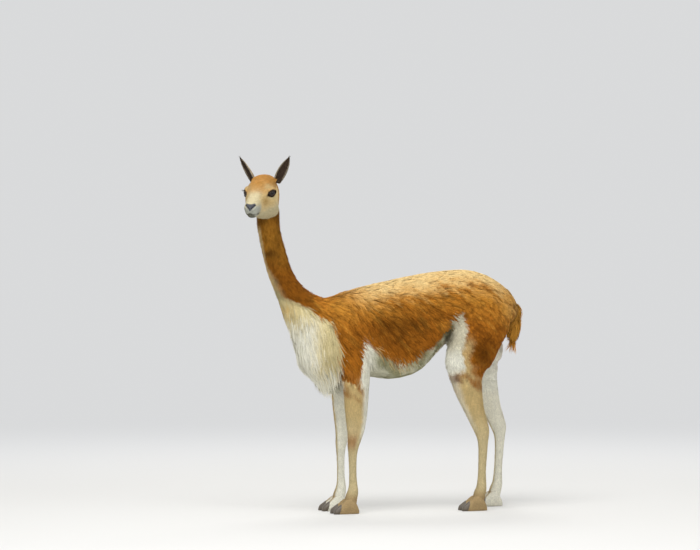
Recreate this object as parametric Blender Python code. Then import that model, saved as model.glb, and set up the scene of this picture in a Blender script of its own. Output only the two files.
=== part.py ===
"""A life-size vicuna, standing with its head turned to its left, as a still model.

Metres, +Z up. The animal faces -X and its left side is -Y. The feet stand on z = 0.
Heights along the back, belly and legs are read off a side view and set against a
shoulder height of 0.86 m.
"""

import math
import random

import bmesh
import bpy
from mathutils import Matrix, Vector
from mathutils.bvhtree import BVHTree

GAP = 0.0003
# The gap that a cut keeps where the two faces that meet aren't parallel
CUT_GAP = 1.4 * GAP
# Half the width of the blocks that part the nodes, past the body's own
REACH = 0.4
SEED = 7

# Head
HEAD_PLACE = Vector((-0.601, -0.070, 1.213))
HEAD_YAW = math.radians(54)
HEAD_PITCH = math.radians(15)
EYE_RADIUS = 0.0185
EYE_PLACE = Vector((0.016, 0.0435, 0.021))
EYE_TURN = math.radians(56)
LID_WALL = 0.0030
EYE_CLEARANCE = 0.0008
LID_OPENING = (0.0165, 0.0135)
MOUTH = [
    (0.134, 0.000, -0.0285),
    (0.126, 0.014, -0.0300),
    (0.108, 0.024, -0.0335),
    (0.090, 0.029, -0.0370),
]
MOUTH_DEPTH = 0.0025
NOSTRIL = [(0.136, 0.0030, -0.0085), (0.134, 0.0095, -0.0020), (0.124, 0.0175, 0.0030)]
NOSTRIL_DEPTH = 0.0024
LIP_CLEFT = [(0.138, 0, -0.0110), (0.134, 0, -0.0260)]
LIP_CLEFT_DEPTH = 0.0016

# Ears, root to tip: share of the length, half width, cup depth
EAR_LENGTH = 0.108
EAR_WALL = 0.0040
EAR_ROOT = Vector((-0.058, 0.047, 0.040))
EAR_SPREAD = math.radians(29)
EAR_SWEEP = math.radians(10)
EAR_TURN = math.radians(38)
EAR = [
    (0.00, 0.0140, 0.0120),
    (0.12, 0.0175, 0.0130),
    (0.30, 0.0205, 0.0120),
    (0.52, 0.0200, 0.0095),
    (0.74, 0.0150, 0.0065),
    (0.90, 0.0080, 0.0035),
    (1.00, 0.0022, 0.0012),
]

# Seams between nodes, each a point and the way that leads out of the torso
HEAD_SEAM = (Vector((-0.549, 0, 1.098)), Vector((-0.10, 0, 1)).normalized())
NECK_SEAM = (Vector((-0.437, 0, 0.830)), Vector((-0.62, 0, 0.78)).normalized())
FOOT_SEAM = 0.050
# Outlines from the side, x and z, of what belongs to the chest, a foreleg and a hind leg
CHEST_REGION = [(-0.70, 0.795), (-0.484, 0.795), (-0.290, 0.730), (-0.290, 0.30), (-0.70, 0.30)]
FORELEG_REGION = [(-0.36, 0.497), (-0.10, 0.497), (-0.10, -0.10), (-0.36, -0.10)]
HINDLEG_REGION = [(0.06, 0.530), (0.100, 0.565), (0.225, 0.668), (0.60, 0.668), (0.60, -0.10), (0.06, -0.10)]

# Torso, front to back: x, top, bottom, half width
TORSO = [
    (-0.436, 0.735, 0.645, 0.040),
    (-0.402, 0.785, 0.580, 0.072),
    (-0.330, 0.820, 0.540, 0.100),
    (-0.250, 0.845, 0.528, 0.116),
    (-0.150, 0.871, 0.518, 0.128),
    (-0.050, 0.891, 0.508, 0.135),
    (0.050, 0.910, 0.538, 0.135),
    (0.150, 0.922, 0.634, 0.130),
    (0.250, 0.925, 0.702, 0.130),
    (0.330, 0.903, 0.695, 0.124),
    (0.395, 0.862, 0.700, 0.104),
    (0.430, 0.825, 0.715, 0.078),
    (0.452, 0.790, 0.745, 0.040),
]

# Neck, top to bottom: x, y, z, half depth, half width
NECK = [
    (-0.574, -0.036, 1.215, 0.040, 0.042),
    (-0.557, -0.012, 1.160, 0.047, 0.044),
    (-0.551, -0.002, 1.100, 0.046, 0.042),
    (-0.541, 0.000, 1.050, 0.0455, 0.041),
    (-0.525, 0.000, 0.990, 0.0475, 0.043),
    (-0.503, 0.000, 0.918, 0.048, 0.047),
    (-0.466, 0.000, 0.847, 0.056, 0.055),
    (-0.410, 0.000, 0.776, 0.080, 0.075),
    (-0.330, 0.000, 0.715, 0.108, 0.092),
]

# Legs, top to bottom: x, y from the midline, z, half depth fore and aft, half width
FORELEG = [
    (-0.255, 0.062, 0.760, 0.070, 0.040),
    (-0.250, 0.070, 0.680, 0.076, 0.046),
    (-0.236, 0.078, 0.600, 0.068, 0.046),
    (-0.226, 0.078, 0.540, 0.058, 0.043),
    (-0.224, 0.077, 0.480, 0.053, 0.039),
    (-0.223, 0.076, 0.400, 0.0475, 0.034),
    (-0.224, 0.075, 0.330, 0.038, 0.028),
    (-0.229, 0.075, 0.290, 0.029, 0.026),
    (-0.235, 0.075, 0.258, 0.0235, 0.0245),
    (-0.237, 0.075, 0.215, 0.0175, 0.0175),
    (-0.236, 0.075, 0.130, 0.0165, 0.0160),
    (-0.235, 0.075, 0.088, 0.0210, 0.0220),
    (-0.242, 0.075, 0.062, 0.0240, 0.0280),
    (-0.248, 0.075, 0.030, 0.0260, 0.0310),
]
HINDLEG = [
    (0.330, 0.055, 0.820, 0.095, 0.050),
    (0.300, 0.072, 0.740, 0.112, 0.060),
    (0.262, 0.086, 0.660, 0.104, 0.057),
    (0.223, 0.094, 0.578, 0.096, 0.050),
    (0.217, 0.095, 0.532, 0.077, 0.045),
    (0.222, 0.094, 0.485, 0.062, 0.040),
    (0.234, 0.093, 0.440, 0.052, 0.036),
    (0.252, 0.092, 0.385, 0.041, 0.031),
    (0.270, 0.091, 0.340, 0.035, 0.028),
    (0.283, 0.090, 0.305, 0.031, 0.026),
    (0.287, 0.090, 0.255, 0.0210, 0.0185),
    (0.283, 0.090, 0.150, 0.0175, 0.0160),
    (0.281, 0.090, 0.090, 0.0210, 0.0215),
    (0.273, 0.090, 0.062, 0.0240, 0.0270),
    (0.266, 0.090, 0.030, 0.0250, 0.0300),
]
# How far the right hind leg is swung back at each height: z, shift
HIND_SWING = [(0, 0.128), (0.31, 0.134), (0.45, 0.132), (0.52, 0.128), (0.60, 0.104), (0.70, 0.045), (0.82, 0)]

# Toes, heel to tip: x from the foot's middle, top, half width
TOE = [
    (0.030, 0.016, 0.0075),
    (0.020, 0.038, 0.0130),
    (0.004, 0.056, 0.0155),
    (-0.018, 0.054, 0.0160),
    (-0.038, 0.038, 0.0155),
    (-0.056, 0.026, 0.0135),
    (-0.070, 0.014, 0.0085),
]
TOE_SPACING = 0.0335
TOE_SPLAY = math.radians(5)
NAIL_LENGTH = 0.017
NAIL_WAY = Vector((-0.95, 0, 0.31)).normalized()

# Locks of hair: share of the length, share of the half width; then the point
LOCK_SHAPE = [(0.0, 0.70), (0.26, 1.0), (0.55, 0.92), (0.82, 0.52)]
LOCK_SINK = 0.007
# Spread of the locks' sizes, of how far their tips stand out, and of how much they bend sideways
SIZE_SPREAD = (0.85, 1.17)
STAND_SPREAD = (0.6, 1.3)
BEND_SPREAD = (-0.14, 0.14)

# Bib: rows of roots round an upright axis through the chest. Height, length, how far tips stand out
BIB_AXIS = (-0.345, 0.0)
BIB_ROWS = [
    (0.782, 0.095, 0.006),
    (0.738, 0.105, 0.014),
    (0.694, 0.112, 0.021),
    (0.650, 0.118, 0.027),
    (0.607, 0.122, 0.028),
    (0.568, 0.108, 0.016),
]
BIB_DIP = 0.045
BIB_SPACING = 0.044
BIB_HALF_WIDTH = 0.0225
BIB_THICKNESS = 0.0075
BIB_REACH = math.radians(112)
BIB_BACK = -0.300
BIB_LIE = Vector((0.10, 0, -1))
BIB_HANG = Vector((0, 0, -0.35))
BIB_HUG = 0.25

# Flank: the lower edge of the brown coat from the side, x and z, and a row of roots above it
FLANK_EDGE = [(-0.206, 0.672), (-0.146, 0.610), (-0.063, 0.571), (0.021, 0.598), (0.102, 0.668), (0.155, 0.741)]
FLANK_ABOVE = 0.034
FLANK_LENGTH = 0.096
FLANK_STAND_OUT = 0.009
FLANK_SPACING = 0.0315
FLANK_HALF_WIDTH = 0.0170
FLANK_THICKNESS = 0.0065
FLANK_SLANT = math.radians(48)
FLANK_HUG = 0.8

# Tail: share of its length, lock length, how far tips stand out
TAIL_ROWS = [(0.14, 0.060, 0.003), (0.34, 0.060, 0.006), (0.54, 0.055, 0.007), (0.72, 0.048, 0.004)]
TAIL_LOCKS_ROUND = 7
TAIL_HALF_WIDTH = 0.0125
TAIL_THICKNESS = 0.0055
TAIL_HUG = 0.6

# Tail, root to tip: x, z, half depth, half width
TAIL = [
    (0.415, 0.805, 0.016, 0.022),
    (0.434, 0.775, 0.020, 0.028),
    (0.443, 0.735, 0.022, 0.031),
    (0.445, 0.700, 0.021, 0.030),
    (0.441, 0.672, 0.015, 0.022),
    (0.437, 0.652, 0.006, 0.009),
]

# Head in its own frame, poll to nose: x forward, top, bottom, half width, squareness
HEAD = [
    (-0.104, 0.026, -0.034, 0.026, 2.0),
    (-0.092, 0.050, -0.060, 0.045, 2.1),
    (-0.062, 0.067, -0.088, 0.053, 2.4),
    (-0.028, 0.071, -0.093, 0.0575, 2.5),
    (0.006, 0.066, -0.083, 0.0590, 2.4),
    (0.036, 0.051, -0.068, 0.052, 2.3),
    (0.066, 0.034, -0.055, 0.040, 2.3),
    (0.094, 0.024, -0.049, 0.032, 2.4),
    (0.114, 0.017, -0.046, 0.028, 2.4),
    (0.129, 0.008, -0.040, 0.023, 2.3),
    (0.137, -0.004, -0.030, 0.013, 2.0),
]
# Swellings under the skin of the head: place, half sizes, turn about the upright axis
HEAD_SWELLINGS = [
    ((0.008, 0.043, 0.022), (0.028, 0.022, 0.023), -30),
    ((-0.026, 0.034, -0.050), (0.036, 0.024, 0.036), 0),
    ((0.113, 0.014, -0.012), (0.021, 0.0165, 0.0150), -12),
    ((0.110, 0.0, -0.039), (0.021, 0.0195, 0.0110), 0),
    ((-0.042, 0.0, 0.048), (0.044, 0.050, 0.028), 0),
]

EAR_FLOOR = 0.10
# Fineness of the fused forms, rounds of smoothing, and the triangles that they keep
BODY_MELT = (0.006, 9, 4050)
HEAD_MELT = (0.003, 3, 2100)

COLOURS = {
    "cinnamon": ((0.50, 0.22, 0.06), 0.9),
    "cream": ((0.78, 0.68, 0.50), 0.9),
    "tan": ((0.62, 0.42, 0.22), 0.9),
    "ear": ((0.16, 0.12, 0.09), 0.85),
    "eye": ((0.02, 0.012, 0.008), 0.12),
    "nail": ((0.09, 0.075, 0.06), 0.5),
}


def clear_scene():
    for found in list(bpy.data.objects):
        bpy.data.objects.remove(found, do_unlink=True)


def material(name):
    """The Principled material of that name, made once."""
    made = bpy.data.materials.get(name)
    if made is None:
        made = bpy.data.materials.new(name)
        made.use_nodes = True
        shader = made.node_tree.nodes["Principled BSDF"]
        colour, roughness = COLOURS[name]
        shader.inputs["Base Color"].default_value = (*colour, 1)
        shader.inputs["Roughness"].default_value = roughness
        shader.inputs["Metallic"].default_value = 0
    return made


def spline(rows, per_span):
    """Rows of numbers on a smooth curve through the given rows, per_span steps to each span."""
    ends = [rows[0], *rows, rows[-1]]
    found = []
    for i in range(len(rows) - 1):
        a, b, c, d = ends[i : i + 4]
        for step in range(per_span):
            t = step / per_span
            found.append(
                tuple(
                    0.5 * (2 * q + (r - p) * t + (2 * p - 5 * q + 4 * r - s) * t**2
                           + (3 * q - p - 3 * r + s) * t**3)
                    for p, q, r, s in zip(a, b, c, d)
                )
            )
    found.append(tuple(rows[-1]))
    return found


def value_at(table, x):
    """Straight-line value of a table of (x, value) rows."""
    if x <= table[0][0]:
        return table[0][1]
    for (x0, v0), (x1, v1) in zip(table, table[1:]):
        if x <= x1:
            return v0 + (v1 - v0) * (x - x0) / (x1 - x0)
    return table[-1][1]


def new_object(name, mesh):
    made = bpy.data.objects.new(name, mesh)
    bpy.context.scene.collection.objects.link(made)
    return made


def skin_rings(name, rings):
    """A closed tube through rings of points, each end closed by a fan."""
    bm = bmesh.new()
    loops = [[bm.verts.new(p) for p in ring] for ring in rings]
    count = len(rings[0])
    for a, b in zip(loops, loops[1:]):
        for i in range(count):
            j = (i + 1) % count
            bm.faces.new((a[i], a[j], b[j], b[i]))
    for loop, turn in ((loops[0], -1), (loops[-1], 1)):
        middle = bm.verts.new(sum((v.co for v in loop), Vector()) / count)
        for i in range(count):
            pair = (loop[i], loop[(i + 1) % count])
            bm.faces.new((*pair[::turn], middle))
    bmesh.ops.recalc_face_normals(bm, faces=bm.faces)
    mesh = bpy.data.meshes.new(name)
    bm.to_mesh(mesh)
    bm.free()
    return new_object(name, mesh)


def signed_power(value, power):
    return math.copysign(abs(value) ** power, value)


def upright_ring(x, top, bottom, half_width, squareness=2.15, sides=24):
    """A ring in the plane x = constant, an ellipse squared off a little."""
    middle, half = (top + bottom) / 2, (top - bottom) / 2
    points = []
    for i in range(sides):
        turn = math.tau * i / sides
        points.append(Vector((
            x,
            half_width * signed_power(math.cos(turn), 2 / squareness),
            middle + half * signed_power(math.sin(turn), 2 / squareness),
        )))
    return points


def path_rings(rows, sides, reference=Vector((0, 1, 0))):
    """Rings square to a path. Each row is a centre, then the half sizes across and along the reference."""
    rings = []
    for i, (centre, across, beside) in enumerate(rows):
        ahead = rows[min(i + 1, len(rows) - 1)][0]
        behind = rows[max(i - 1, 0)][0]
        along = (ahead - behind).normalized()
        side = (reference - along * reference.dot(along)).normalized()
        fore = side.cross(along)
        rings.append([
            centre
            + fore * across * math.cos(math.tau * k / sides)
            + side * beside * math.sin(math.tau * k / sides)
            for k in range(sides)
        ])
    return rings


def ellipsoid(name, place, half_sizes, turn=0.0, segments=16):
    mesh = bpy.data.meshes.new(name)
    bm = bmesh.new()
    bmesh.ops.create_uvsphere(bm, u_segments=segments, v_segments=segments // 2 + 2, radius=1)
    bm.to_mesh(mesh)
    bm.free()
    stretch = Matrix.Diagonal((*half_sizes, 1))
    mesh.transform(Matrix.Translation(place) @ Matrix.Rotation(turn, 4, "Z") @ stretch)
    return new_object(name, mesh)


def prism(name, outline, low_y, high_y, lift=0.0):
    """A block with that outline from the side, between two places across the body."""
    bm = bmesh.new()
    near = [bm.verts.new((x, low_y, z + lift)) for x, z in outline]
    far = [bm.verts.new((x, high_y, z + lift)) for x, z in outline]
    bm.faces.new(near)
    bm.faces.new(far[::-1])
    for i in range(len(outline)):
        j = (i + 1) % len(outline)
        bm.faces.new((near[j], near[i], far[i], far[j]))
    bmesh.ops.recalc_face_normals(bm, faces=bm.faces)
    mesh = bpy.data.meshes.new(name)
    bm.to_mesh(mesh)
    bm.free()
    return new_object(name, mesh)


def apply_modifiers(target):
    graph = bpy.context.evaluated_depsgraph_get()
    mesh = bpy.data.meshes.new_from_object(target.evaluated_get(graph))
    target.modifiers.clear()
    target.data = mesh
    return target


def joined(name, pieces):
    """One object with the meshes of several, which are removed."""
    bm = bmesh.new()
    for piece in pieces:
        bm.from_mesh(piece.data)
        bpy.data.objects.remove(piece)
    mesh = bpy.data.meshes.new(name)
    bm.to_mesh(mesh)
    bm.free()
    return new_object(name, mesh)


def melt(target, voxel, smoothing, triangles):
    """Fuses overlapping closed forms into one smooth skin of about that many triangles."""
    remesh = target.modifiers.new("Fuse", "REMESH")
    remesh.mode = "VOXEL"
    remesh.voxel_size = voxel
    smooth = target.modifiers.new("Smooth", "SMOOTH")
    smooth.factor = 0.5
    smooth.iterations = smoothing
    apply_modifiers(target)
    count = sum(len(p.vertices) - 2 for p in target.data.polygons)
    decimate = target.modifiers.new("Coarsen", "DECIMATE")
    decimate.ratio = triangles / count
    decimate.use_collapse_triangulate = True
    return apply_modifiers(target)


def boolean(target, other, operation, solver="EXACT"):
    """Joins or cuts the target by an object or a collection, applied at once."""
    cut = target.modifiers.new(operation.title(), "BOOLEAN")
    cut.operation = operation
    cut.solver = solver
    if isinstance(other, bpy.types.Collection):
        cut.operand_type = "COLLECTION"
        cut.collection = other
    else:
        cut.object = other
    return apply_modifiers(target)


def copy_of(source, name):
    return new_object(name, source.data.copy())


def remove(*objects):
    for found in objects:
        bpy.data.objects.remove(found, do_unlink=True)


def keep_largest(target):
    """Drops all but the largest closed surface of a mesh."""
    bm = bmesh.new()
    bm.from_mesh(target.data)
    bmesh.ops.remove_doubles(bm, verts=bm.verts, dist=1e-6)
    bm.verts.ensure_lookup_table()
    left, islands = set(bm.verts), []
    while left:
        island, front = set(), [left.pop()]
        while front:
            v = front.pop()
            island.add(v)
            for edge in v.link_edges:
                w = edge.other_vert(v)
                if w in left:
                    left.discard(w)
                    front.append(w)
        islands.append(island)

    def span(island):
        low = Vector(min(v.co[k] for v in island) for k in range(3))
        high = Vector(max(v.co[k] for v in island) for k in range(3))
        return (high - low).length

    islands.sort(key=span, reverse=True)
    for island in islands[1:]:
        bmesh.ops.delete(bm, geom=list(island), context="VERTS")
    bm.to_mesh(target.data)
    bm.free()
    return target


def cut_by_plane(target, point, way):
    """Keeps what lies on the side that the way points to, and closes the cut."""
    bm = bmesh.new()
    bm.from_mesh(target.data)
    geometry = bm.verts[:] + bm.edges[:] + bm.faces[:]
    bmesh.ops.bisect_plane(bm, geom=geometry, dist=1e-7, plane_co=point, plane_no=way, clear_inner=True)
    rim = [edge for edge in bm.edges if len(edge.link_faces) == 1]
    bmesh.ops.triangle_fill(bm, edges=rim, use_beauty=True, normal=-way)
    bmesh.ops.recalc_face_normals(bm, faces=bm.faces)
    bm.to_mesh(target.data)
    bm.free()
    return target


def grown(source, name, by=GAP):
    """A copy of a node that is larger all round by the gap that touching meshes keep."""
    made = copy_of(source, name)
    swell = made.modifiers.new("Grow", "DISPLACE")
    swell.strength = by
    swell.mid_level = 0
    return apply_modifiers(made)


def finish(target, name, material_name):
    target.name = name
    target.data.materials.clear()
    target.data.materials.append(material(material_name))
    target.data.shade_smooth()


def neck_rows():
    return [(Vector((x, y, z)), d, w) for x, y, z, d, w in spline(NECK, 4)]


def leg_rows(table, side, swing=None):
    rows = []
    for x, y, z, depth, width in spline(table, 3):
        shift = value_at(swing, z) if swing else 0
        rows.append((Vector((x + shift, side * y, z)), depth, width))
    return rows


def build_body():
    """Torso, neck and legs, fused into one skin."""
    torso = [upright_ring(*row) for row in spline(TORSO, 4)]
    pieces = [skin_rings("torso_form", torso)]
    pieces.append(skin_rings("neck_form", path_rings(neck_rows(), 20)))
    for side in (-1, 1):
        pieces.append(skin_rings("foreleg_form", path_rings(leg_rows(FORELEG, side), 16)))
        swing = HIND_SWING if side > 0 else None
        pieces.append(skin_rings("hindleg_form", path_rings(leg_rows(HINDLEG, side, swing), 16)))
    return melt(joined("body_form", pieces), *BODY_MELT)


def head_matrix():
    """From the head's own frame, x to the nose and y to its left, to the world."""
    facing = Matrix.Rotation(math.pi + HEAD_YAW, 4, "Z")
    return Matrix.Translation(HEAD_PLACE) @ facing @ Matrix.Rotation(HEAD_PITCH, 4, "Y")


def mirrored(point, side):
    return Vector((point[0], point[1] * side, point[2]))


def both_sides(table):
    """Each row of a table of places, with its mirror image where it lies off the midline."""
    for place, sizes, turn in table:
        for side in (1, -1) if place[1] else (1,):
            yield mirrored(place, side), sizes, math.radians(turn) * side


def eye_frame(side):
    """Turns and places a shape whose x axis looks out of the eye."""
    return Matrix.Translation(mirrored(EYE_PLACE, side)) @ Matrix.Rotation(side * EYE_TURN, 4, "Z")


def groove(name, surface, path, radius, reference):
    """A thin tube that follows a path pressed on to a surface, to be cut out of it."""
    points = [Vector(p) for p in spline(path, 3)]
    laid = [(surface.find_nearest(p)[0], radius, radius) for p in points]
    return skin_rings(name, path_rings(laid, 6, reference))


def surface_of(target):
    bm = bmesh.new()
    bm.from_mesh(target.data)
    tree = BVHTree.FromBMesh(bm)
    bm.free()
    return tree


def build_head():
    """The head over a stub of neck, with lids, mouth, nostrils and sockets, in world space."""
    pieces = [skin_rings("skull", [upright_ring(*row) for row in spline(HEAD, 3)])]
    for place, sizes, turn in both_sides(HEAD_SWELLINGS):
        pieces.append(ellipsoid("swelling", place, sizes, turn))
    stub = skin_rings("stub", path_rings(neck_rows()[: 4 * 3], 20))
    stub.data.transform(head_matrix().inverted())
    head = melt(joined("head", [*pieces, stub]), *HEAD_MELT)
    surface = surface_of(head)
    for side in (1, -1):
        lids = ellipsoid("lids", (0, 0, 0), [EYE_RADIUS + LID_WALL] * 3, 0, 16)
        lids.data.transform(eye_frame(side))
        boolean(head, lids, "UNION")
        socket = ellipsoid("socket", (0, 0, 0), [EYE_RADIUS + EYE_CLEARANCE] * 3, 0, 12)
        socket.data.transform(eye_frame(side))
        boolean(head, socket, "DIFFERENCE")
        half_width, half_height = LID_OPENING
        ends = [Vector((x, 0, 0)) for x in (0.002, EYE_RADIUS + 4 * LID_WALL)]
        opening = skin_rings("opening", path_rings([(p, half_height, half_width) for p in ends], 12))
        opening.data.transform(eye_frame(side))
        boolean(head, opening, "DIFFERENCE")
        remove(lids, socket, opening)
    lip_line = [mirrored(p, -1) for p in MOUTH[:0:-1]] + [Vector(p) for p in MOUTH]
    cutters = [
        groove("mouth", surface, lip_line, MOUTH_DEPTH, Vector((0, 0, 1))),
        groove("cleft", surface, LIP_CLEFT, LIP_CLEFT_DEPTH, Vector((0, 1, 0))),
    ]
    for side in (1, -1):
        slit = [mirrored(p, side) for p in NOSTRIL]
        cutters.append(groove("nostril", surface, slit, NOSTRIL_DEPTH, Vector((1, 0, 0))))
    for cutter in cutters:
        boolean(head, cutter, "DIFFERENCE")
    remove(*cutters)
    head.data.transform(head_matrix())
    point, way = HEAD_SEAM
    cut_by_plane(head, point + way * GAP / 2, way)
    return keep_largest(head)


def build_eye(side):
    eye = ellipsoid("eye", (0, 0, 0), [EYE_RADIUS] * 3, 0, 12)
    eye.data.transform(head_matrix() @ eye_frame(side))
    return eye


def build_ear(side):
    """A pointed leaf rolled into a cup that opens forward and outward."""
    sides = 6
    rings = []
    for share, half_width, cup in spline(EAR, 2):
        outer = []
        inner = []
        wall = min(EAR_WALL, half_width * 0.5)
        for k in range(sides + 1):
            turn = math.pi * k / sides
            across, back = math.cos(turn), math.sin(turn)
            outer.append(Vector((-cup * back, half_width * across, share * EAR_LENGTH)))
            shrink = max(0.0, 1 - wall / half_width)
            sink = max(0.0, cup - wall) if share > EAR_FLOOR else -cup * 0.4
            inner.append(Vector((-sink * back, half_width * shrink * across, share * EAR_LENGTH)))
        rings.append(outer + inner[::-1])
    ear = skin_rings("ear", rings)
    stand = (
        Matrix.Translation(mirrored(EAR_ROOT, side))
        @ Matrix.Rotation(-side * EAR_SPREAD, 4, "X")
        @ Matrix.Rotation(-EAR_SWEEP, 4, "Y")
        @ Matrix.Rotation(side * EAR_TURN, 4, "Z")
    )
    ear.data.transform(head_matrix() @ stand)
    return ear


def build_lock(surface, root, normal, lie, length, half_width, thickness, stand_out, hug, bend):
    """A flat tapered lock of three sides, its root sunk in, laid along a surface and bent by its own weight."""
    bm = bmesh.new()
    rings = []
    side = lie.cross(normal).normalized()
    for share, width_share in [*LOCK_SHAPE, (1.0, 0.0)]:
        centre = root + lie * length * share + side * bend * length * share**2
        near, face_normal, _, _ = surface.find_nearest(centre)
        height = (centre - near).dot(face_normal)
        wanted = thickness * 0.35 + stand_out * share if share else -LOCK_SINK
        if height < wanted:
            centre += face_normal * (wanted - height)
        else:
            centre -= face_normal * (height - wanted) * hug
            normal = normal.lerp(face_normal, hug).normalized()
        if not width_share:
            rings.append([bm.verts.new(centre)])
            break
        across = lie.cross(normal).normalized() * half_width * width_share
        rise = normal * thickness * (0.55 + 0.45 * width_share)
        rings.append([bm.verts.new(c) for c in (centre - across, centre + across, centre + rise)])
    bm.faces.new(rings[0])
    for a, b in zip(rings, rings[1:-1]):
        for k in range(3):
            m = (k + 1) % 3
            bm.faces.new((a[k], a[m], b[m]))
            bm.faces.new((a[k], b[m], b[k]))
    for k in range(3):
        bm.faces.new((rings[-2][k], rings[-2][(k + 1) % 3], rings[-1][0]))
    bmesh.ops.recalc_face_normals(bm, faces=bm.faces)
    mesh = bpy.data.meshes.new("lock")
    bm.to_mesh(mesh)
    bm.free()
    return new_object("lock", mesh)


def tangent(way, normal):
    return (way - normal * way.dot(normal)).normalized()


def fuse_locks(core, locks, neighbours):
    """Cuts locks clear of the neighbouring nodes and fuses them into their own."""
    group = bpy.data.collections.new("locks")
    bpy.context.scene.collection.children.link(group)
    hair = locks[0]
    for other in locks[1:]:
        group.objects.link(other)
    boolean(hair, group, "UNION", "MANIFOLD")
    remove(*locks[1:])
    bpy.data.collections.remove(group)
    for neighbour in neighbours:
        swollen = grown(neighbour, "swollen", CUT_GAP)
        boolean(hair, swollen, "DIFFERENCE", "MANIFOLD")
        remove(swollen)
    boolean(core, hair, "UNION", "MANIFOLD")
    remove(hair)
    return keep_largest(core)


def bib_locks(chest, draw):
    surface = surface_of(chest)
    made = []
    for row, (height, length, stand_out) in enumerate(BIB_ROWS):
        axis = Vector((*BIB_AXIS, height))
        front = surface.ray_cast(axis - Vector((1, 0, 0)), Vector((1, 0, 0)))[0]
        if front is None:
            continue
        step = BIB_SPACING / (axis - front).length
        count = int(2 * BIB_REACH / step)
        for k in range(count + 1):
            turn = (k - count / 2 + 0.5 * (row % 2)) * step + draw.uniform(-0.12, 0.12) * step
            if abs(turn) > BIB_REACH:
                continue
            out = Vector((-math.cos(turn), math.sin(turn), draw.uniform(-0.03, 0.03)))
            origin = axis - Vector((0, 0, BIB_DIP * (1 - math.cos(turn))))
            root, normal, _, _ = surface.ray_cast(origin + out, -out)
            if root is None or normal.x > 0.35 or normal.z > 0.75 or root.x > BIB_BACK:
                continue
            lie = (tangent(BIB_LIE, normal) + BIB_HANG).normalized()
            made.append(build_lock(
                surface, root, normal, lie, length * draw.uniform(*SIZE_SPREAD),
                BIB_HALF_WIDTH * draw.uniform(*SIZE_SPREAD), BIB_THICKNESS,
                stand_out * draw.uniform(*STAND_SPREAD), BIB_HUG, draw.uniform(*BEND_SPREAD),
            ))
    return made


def flank_locks(torso, draw):
    surface = surface_of(torso)
    made = []
    edge = spline(FLANK_EDGE, 8)
    for side in (-1, 1):
        travelled = 0
        for (x0, z0), (x1, z1) in zip(edge, edge[1:]):
            travelled += math.hypot(x1 - x0, z1 - z0)
            if travelled < FLANK_SPACING:
                continue
            travelled -= FLANK_SPACING
            stray = FLANK_SPACING / 4
            start = Vector((x1 + draw.uniform(-stray, stray), side, z1 + FLANK_ABOVE + draw.uniform(-stray, stray)))
            root, normal, _, _ = surface.ray_cast(start, Vector((0, -side, 0)))
            if root is None or abs(normal.y) < 0.25:
                continue
            slant = FLANK_SLANT + draw.uniform(*BEND_SPREAD)
            lie = tangent(Vector((math.cos(slant), 0, -math.sin(slant))), normal)
            made.append(build_lock(
                surface, root, normal, lie, FLANK_LENGTH * draw.uniform(*SIZE_SPREAD),
                FLANK_HALF_WIDTH * draw.uniform(*SIZE_SPREAD), FLANK_THICKNESS,
                FLANK_STAND_OUT * draw.uniform(*STAND_SPREAD), FLANK_HUG, draw.uniform(*BEND_SPREAD),
            ))
    return made


def tail_locks(tail, rows, draw):
    surface = surface_of(tail)
    made = []
    for row, (share, length, stand_out) in enumerate(TAIL_ROWS):
        at = share * (len(rows) - 1)
        centre = rows[int(at)][0].lerp(rows[min(int(at) + 1, len(rows) - 1)][0], at % 1)
        down = (rows[min(int(at) + 2, len(rows) - 1)][0] - rows[int(at)][0]).normalized()
        for k in range(TAIL_LOCKS_ROUND):
            turn = math.tau * (k + 0.5 * (row % 2) + draw.uniform(-0.1, 0.1)) / TAIL_LOCKS_ROUND
            out = Vector((math.cos(turn), math.sin(turn), 0))
            root, normal, _, _ = surface.ray_cast(centre + out, -out)
            if root is None or normal.x < -0.55:
                continue
            lie = tangent(down, normal)
            made.append(build_lock(
                surface, root, normal, lie, length * draw.uniform(*SIZE_SPREAD),
                TAIL_HALF_WIDTH * draw.uniform(*SIZE_SPREAD), TAIL_THICKNESS,
                stand_out * draw.uniform(*STAND_SPREAD), TAIL_HUG, draw.uniform(*BEND_SPREAD),
            ))
    return made


def build_leg(body, outline, side, name):
    low, high = (-REACH, -GAP / 2) if side < 0 else (GAP / 2, REACH)
    region = prism("region", outline, low, high)
    leg = copy_of(body, name)
    boolean(leg, region, "INTERSECT")
    remove(region)
    keep_largest(leg)
    cut_by_plane(leg, Vector((0, 0, FOOT_SEAM)), Vector((0, 0, 1)))
    return leg


def build_toe(foot_x, foot_y, outward):
    """One toe with a flat sole, and its nail in front of a slanting seam."""
    rings = []
    for x, top, half_width in TOE:
        rings.append([
            Vector((p.x, p.y, max(p.z, 0.0)))
            for p in upright_ring(x, top, -0.25 * top, half_width, 2.3, 10)
        ])
    toe = skin_rings("toe", rings)
    place = Matrix.Translation((foot_x, foot_y + outward * TOE_SPACING / 2, 0))
    splay = Matrix.Rotation(-outward * TOE_SPLAY, 4, "Z")
    toe.data.transform(place @ splay)
    cut_by_plane(toe, Vector((0, 0, FOOT_SEAM - GAP)), Vector((0, 0, -1)))
    tip = place @ splay @ Vector((TOE[-1][0], 0, 0))
    root = tip + Vector((NAIL_LENGTH, 0, 0))
    nail = copy_of(toe, "nail")
    cut_by_plane(nail, root + NAIL_WAY * GAP / 2, NAIL_WAY)
    cut_by_plane(toe, root - NAIL_WAY * GAP / 2, -NAIL_WAY)
    return toe, nail


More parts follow.
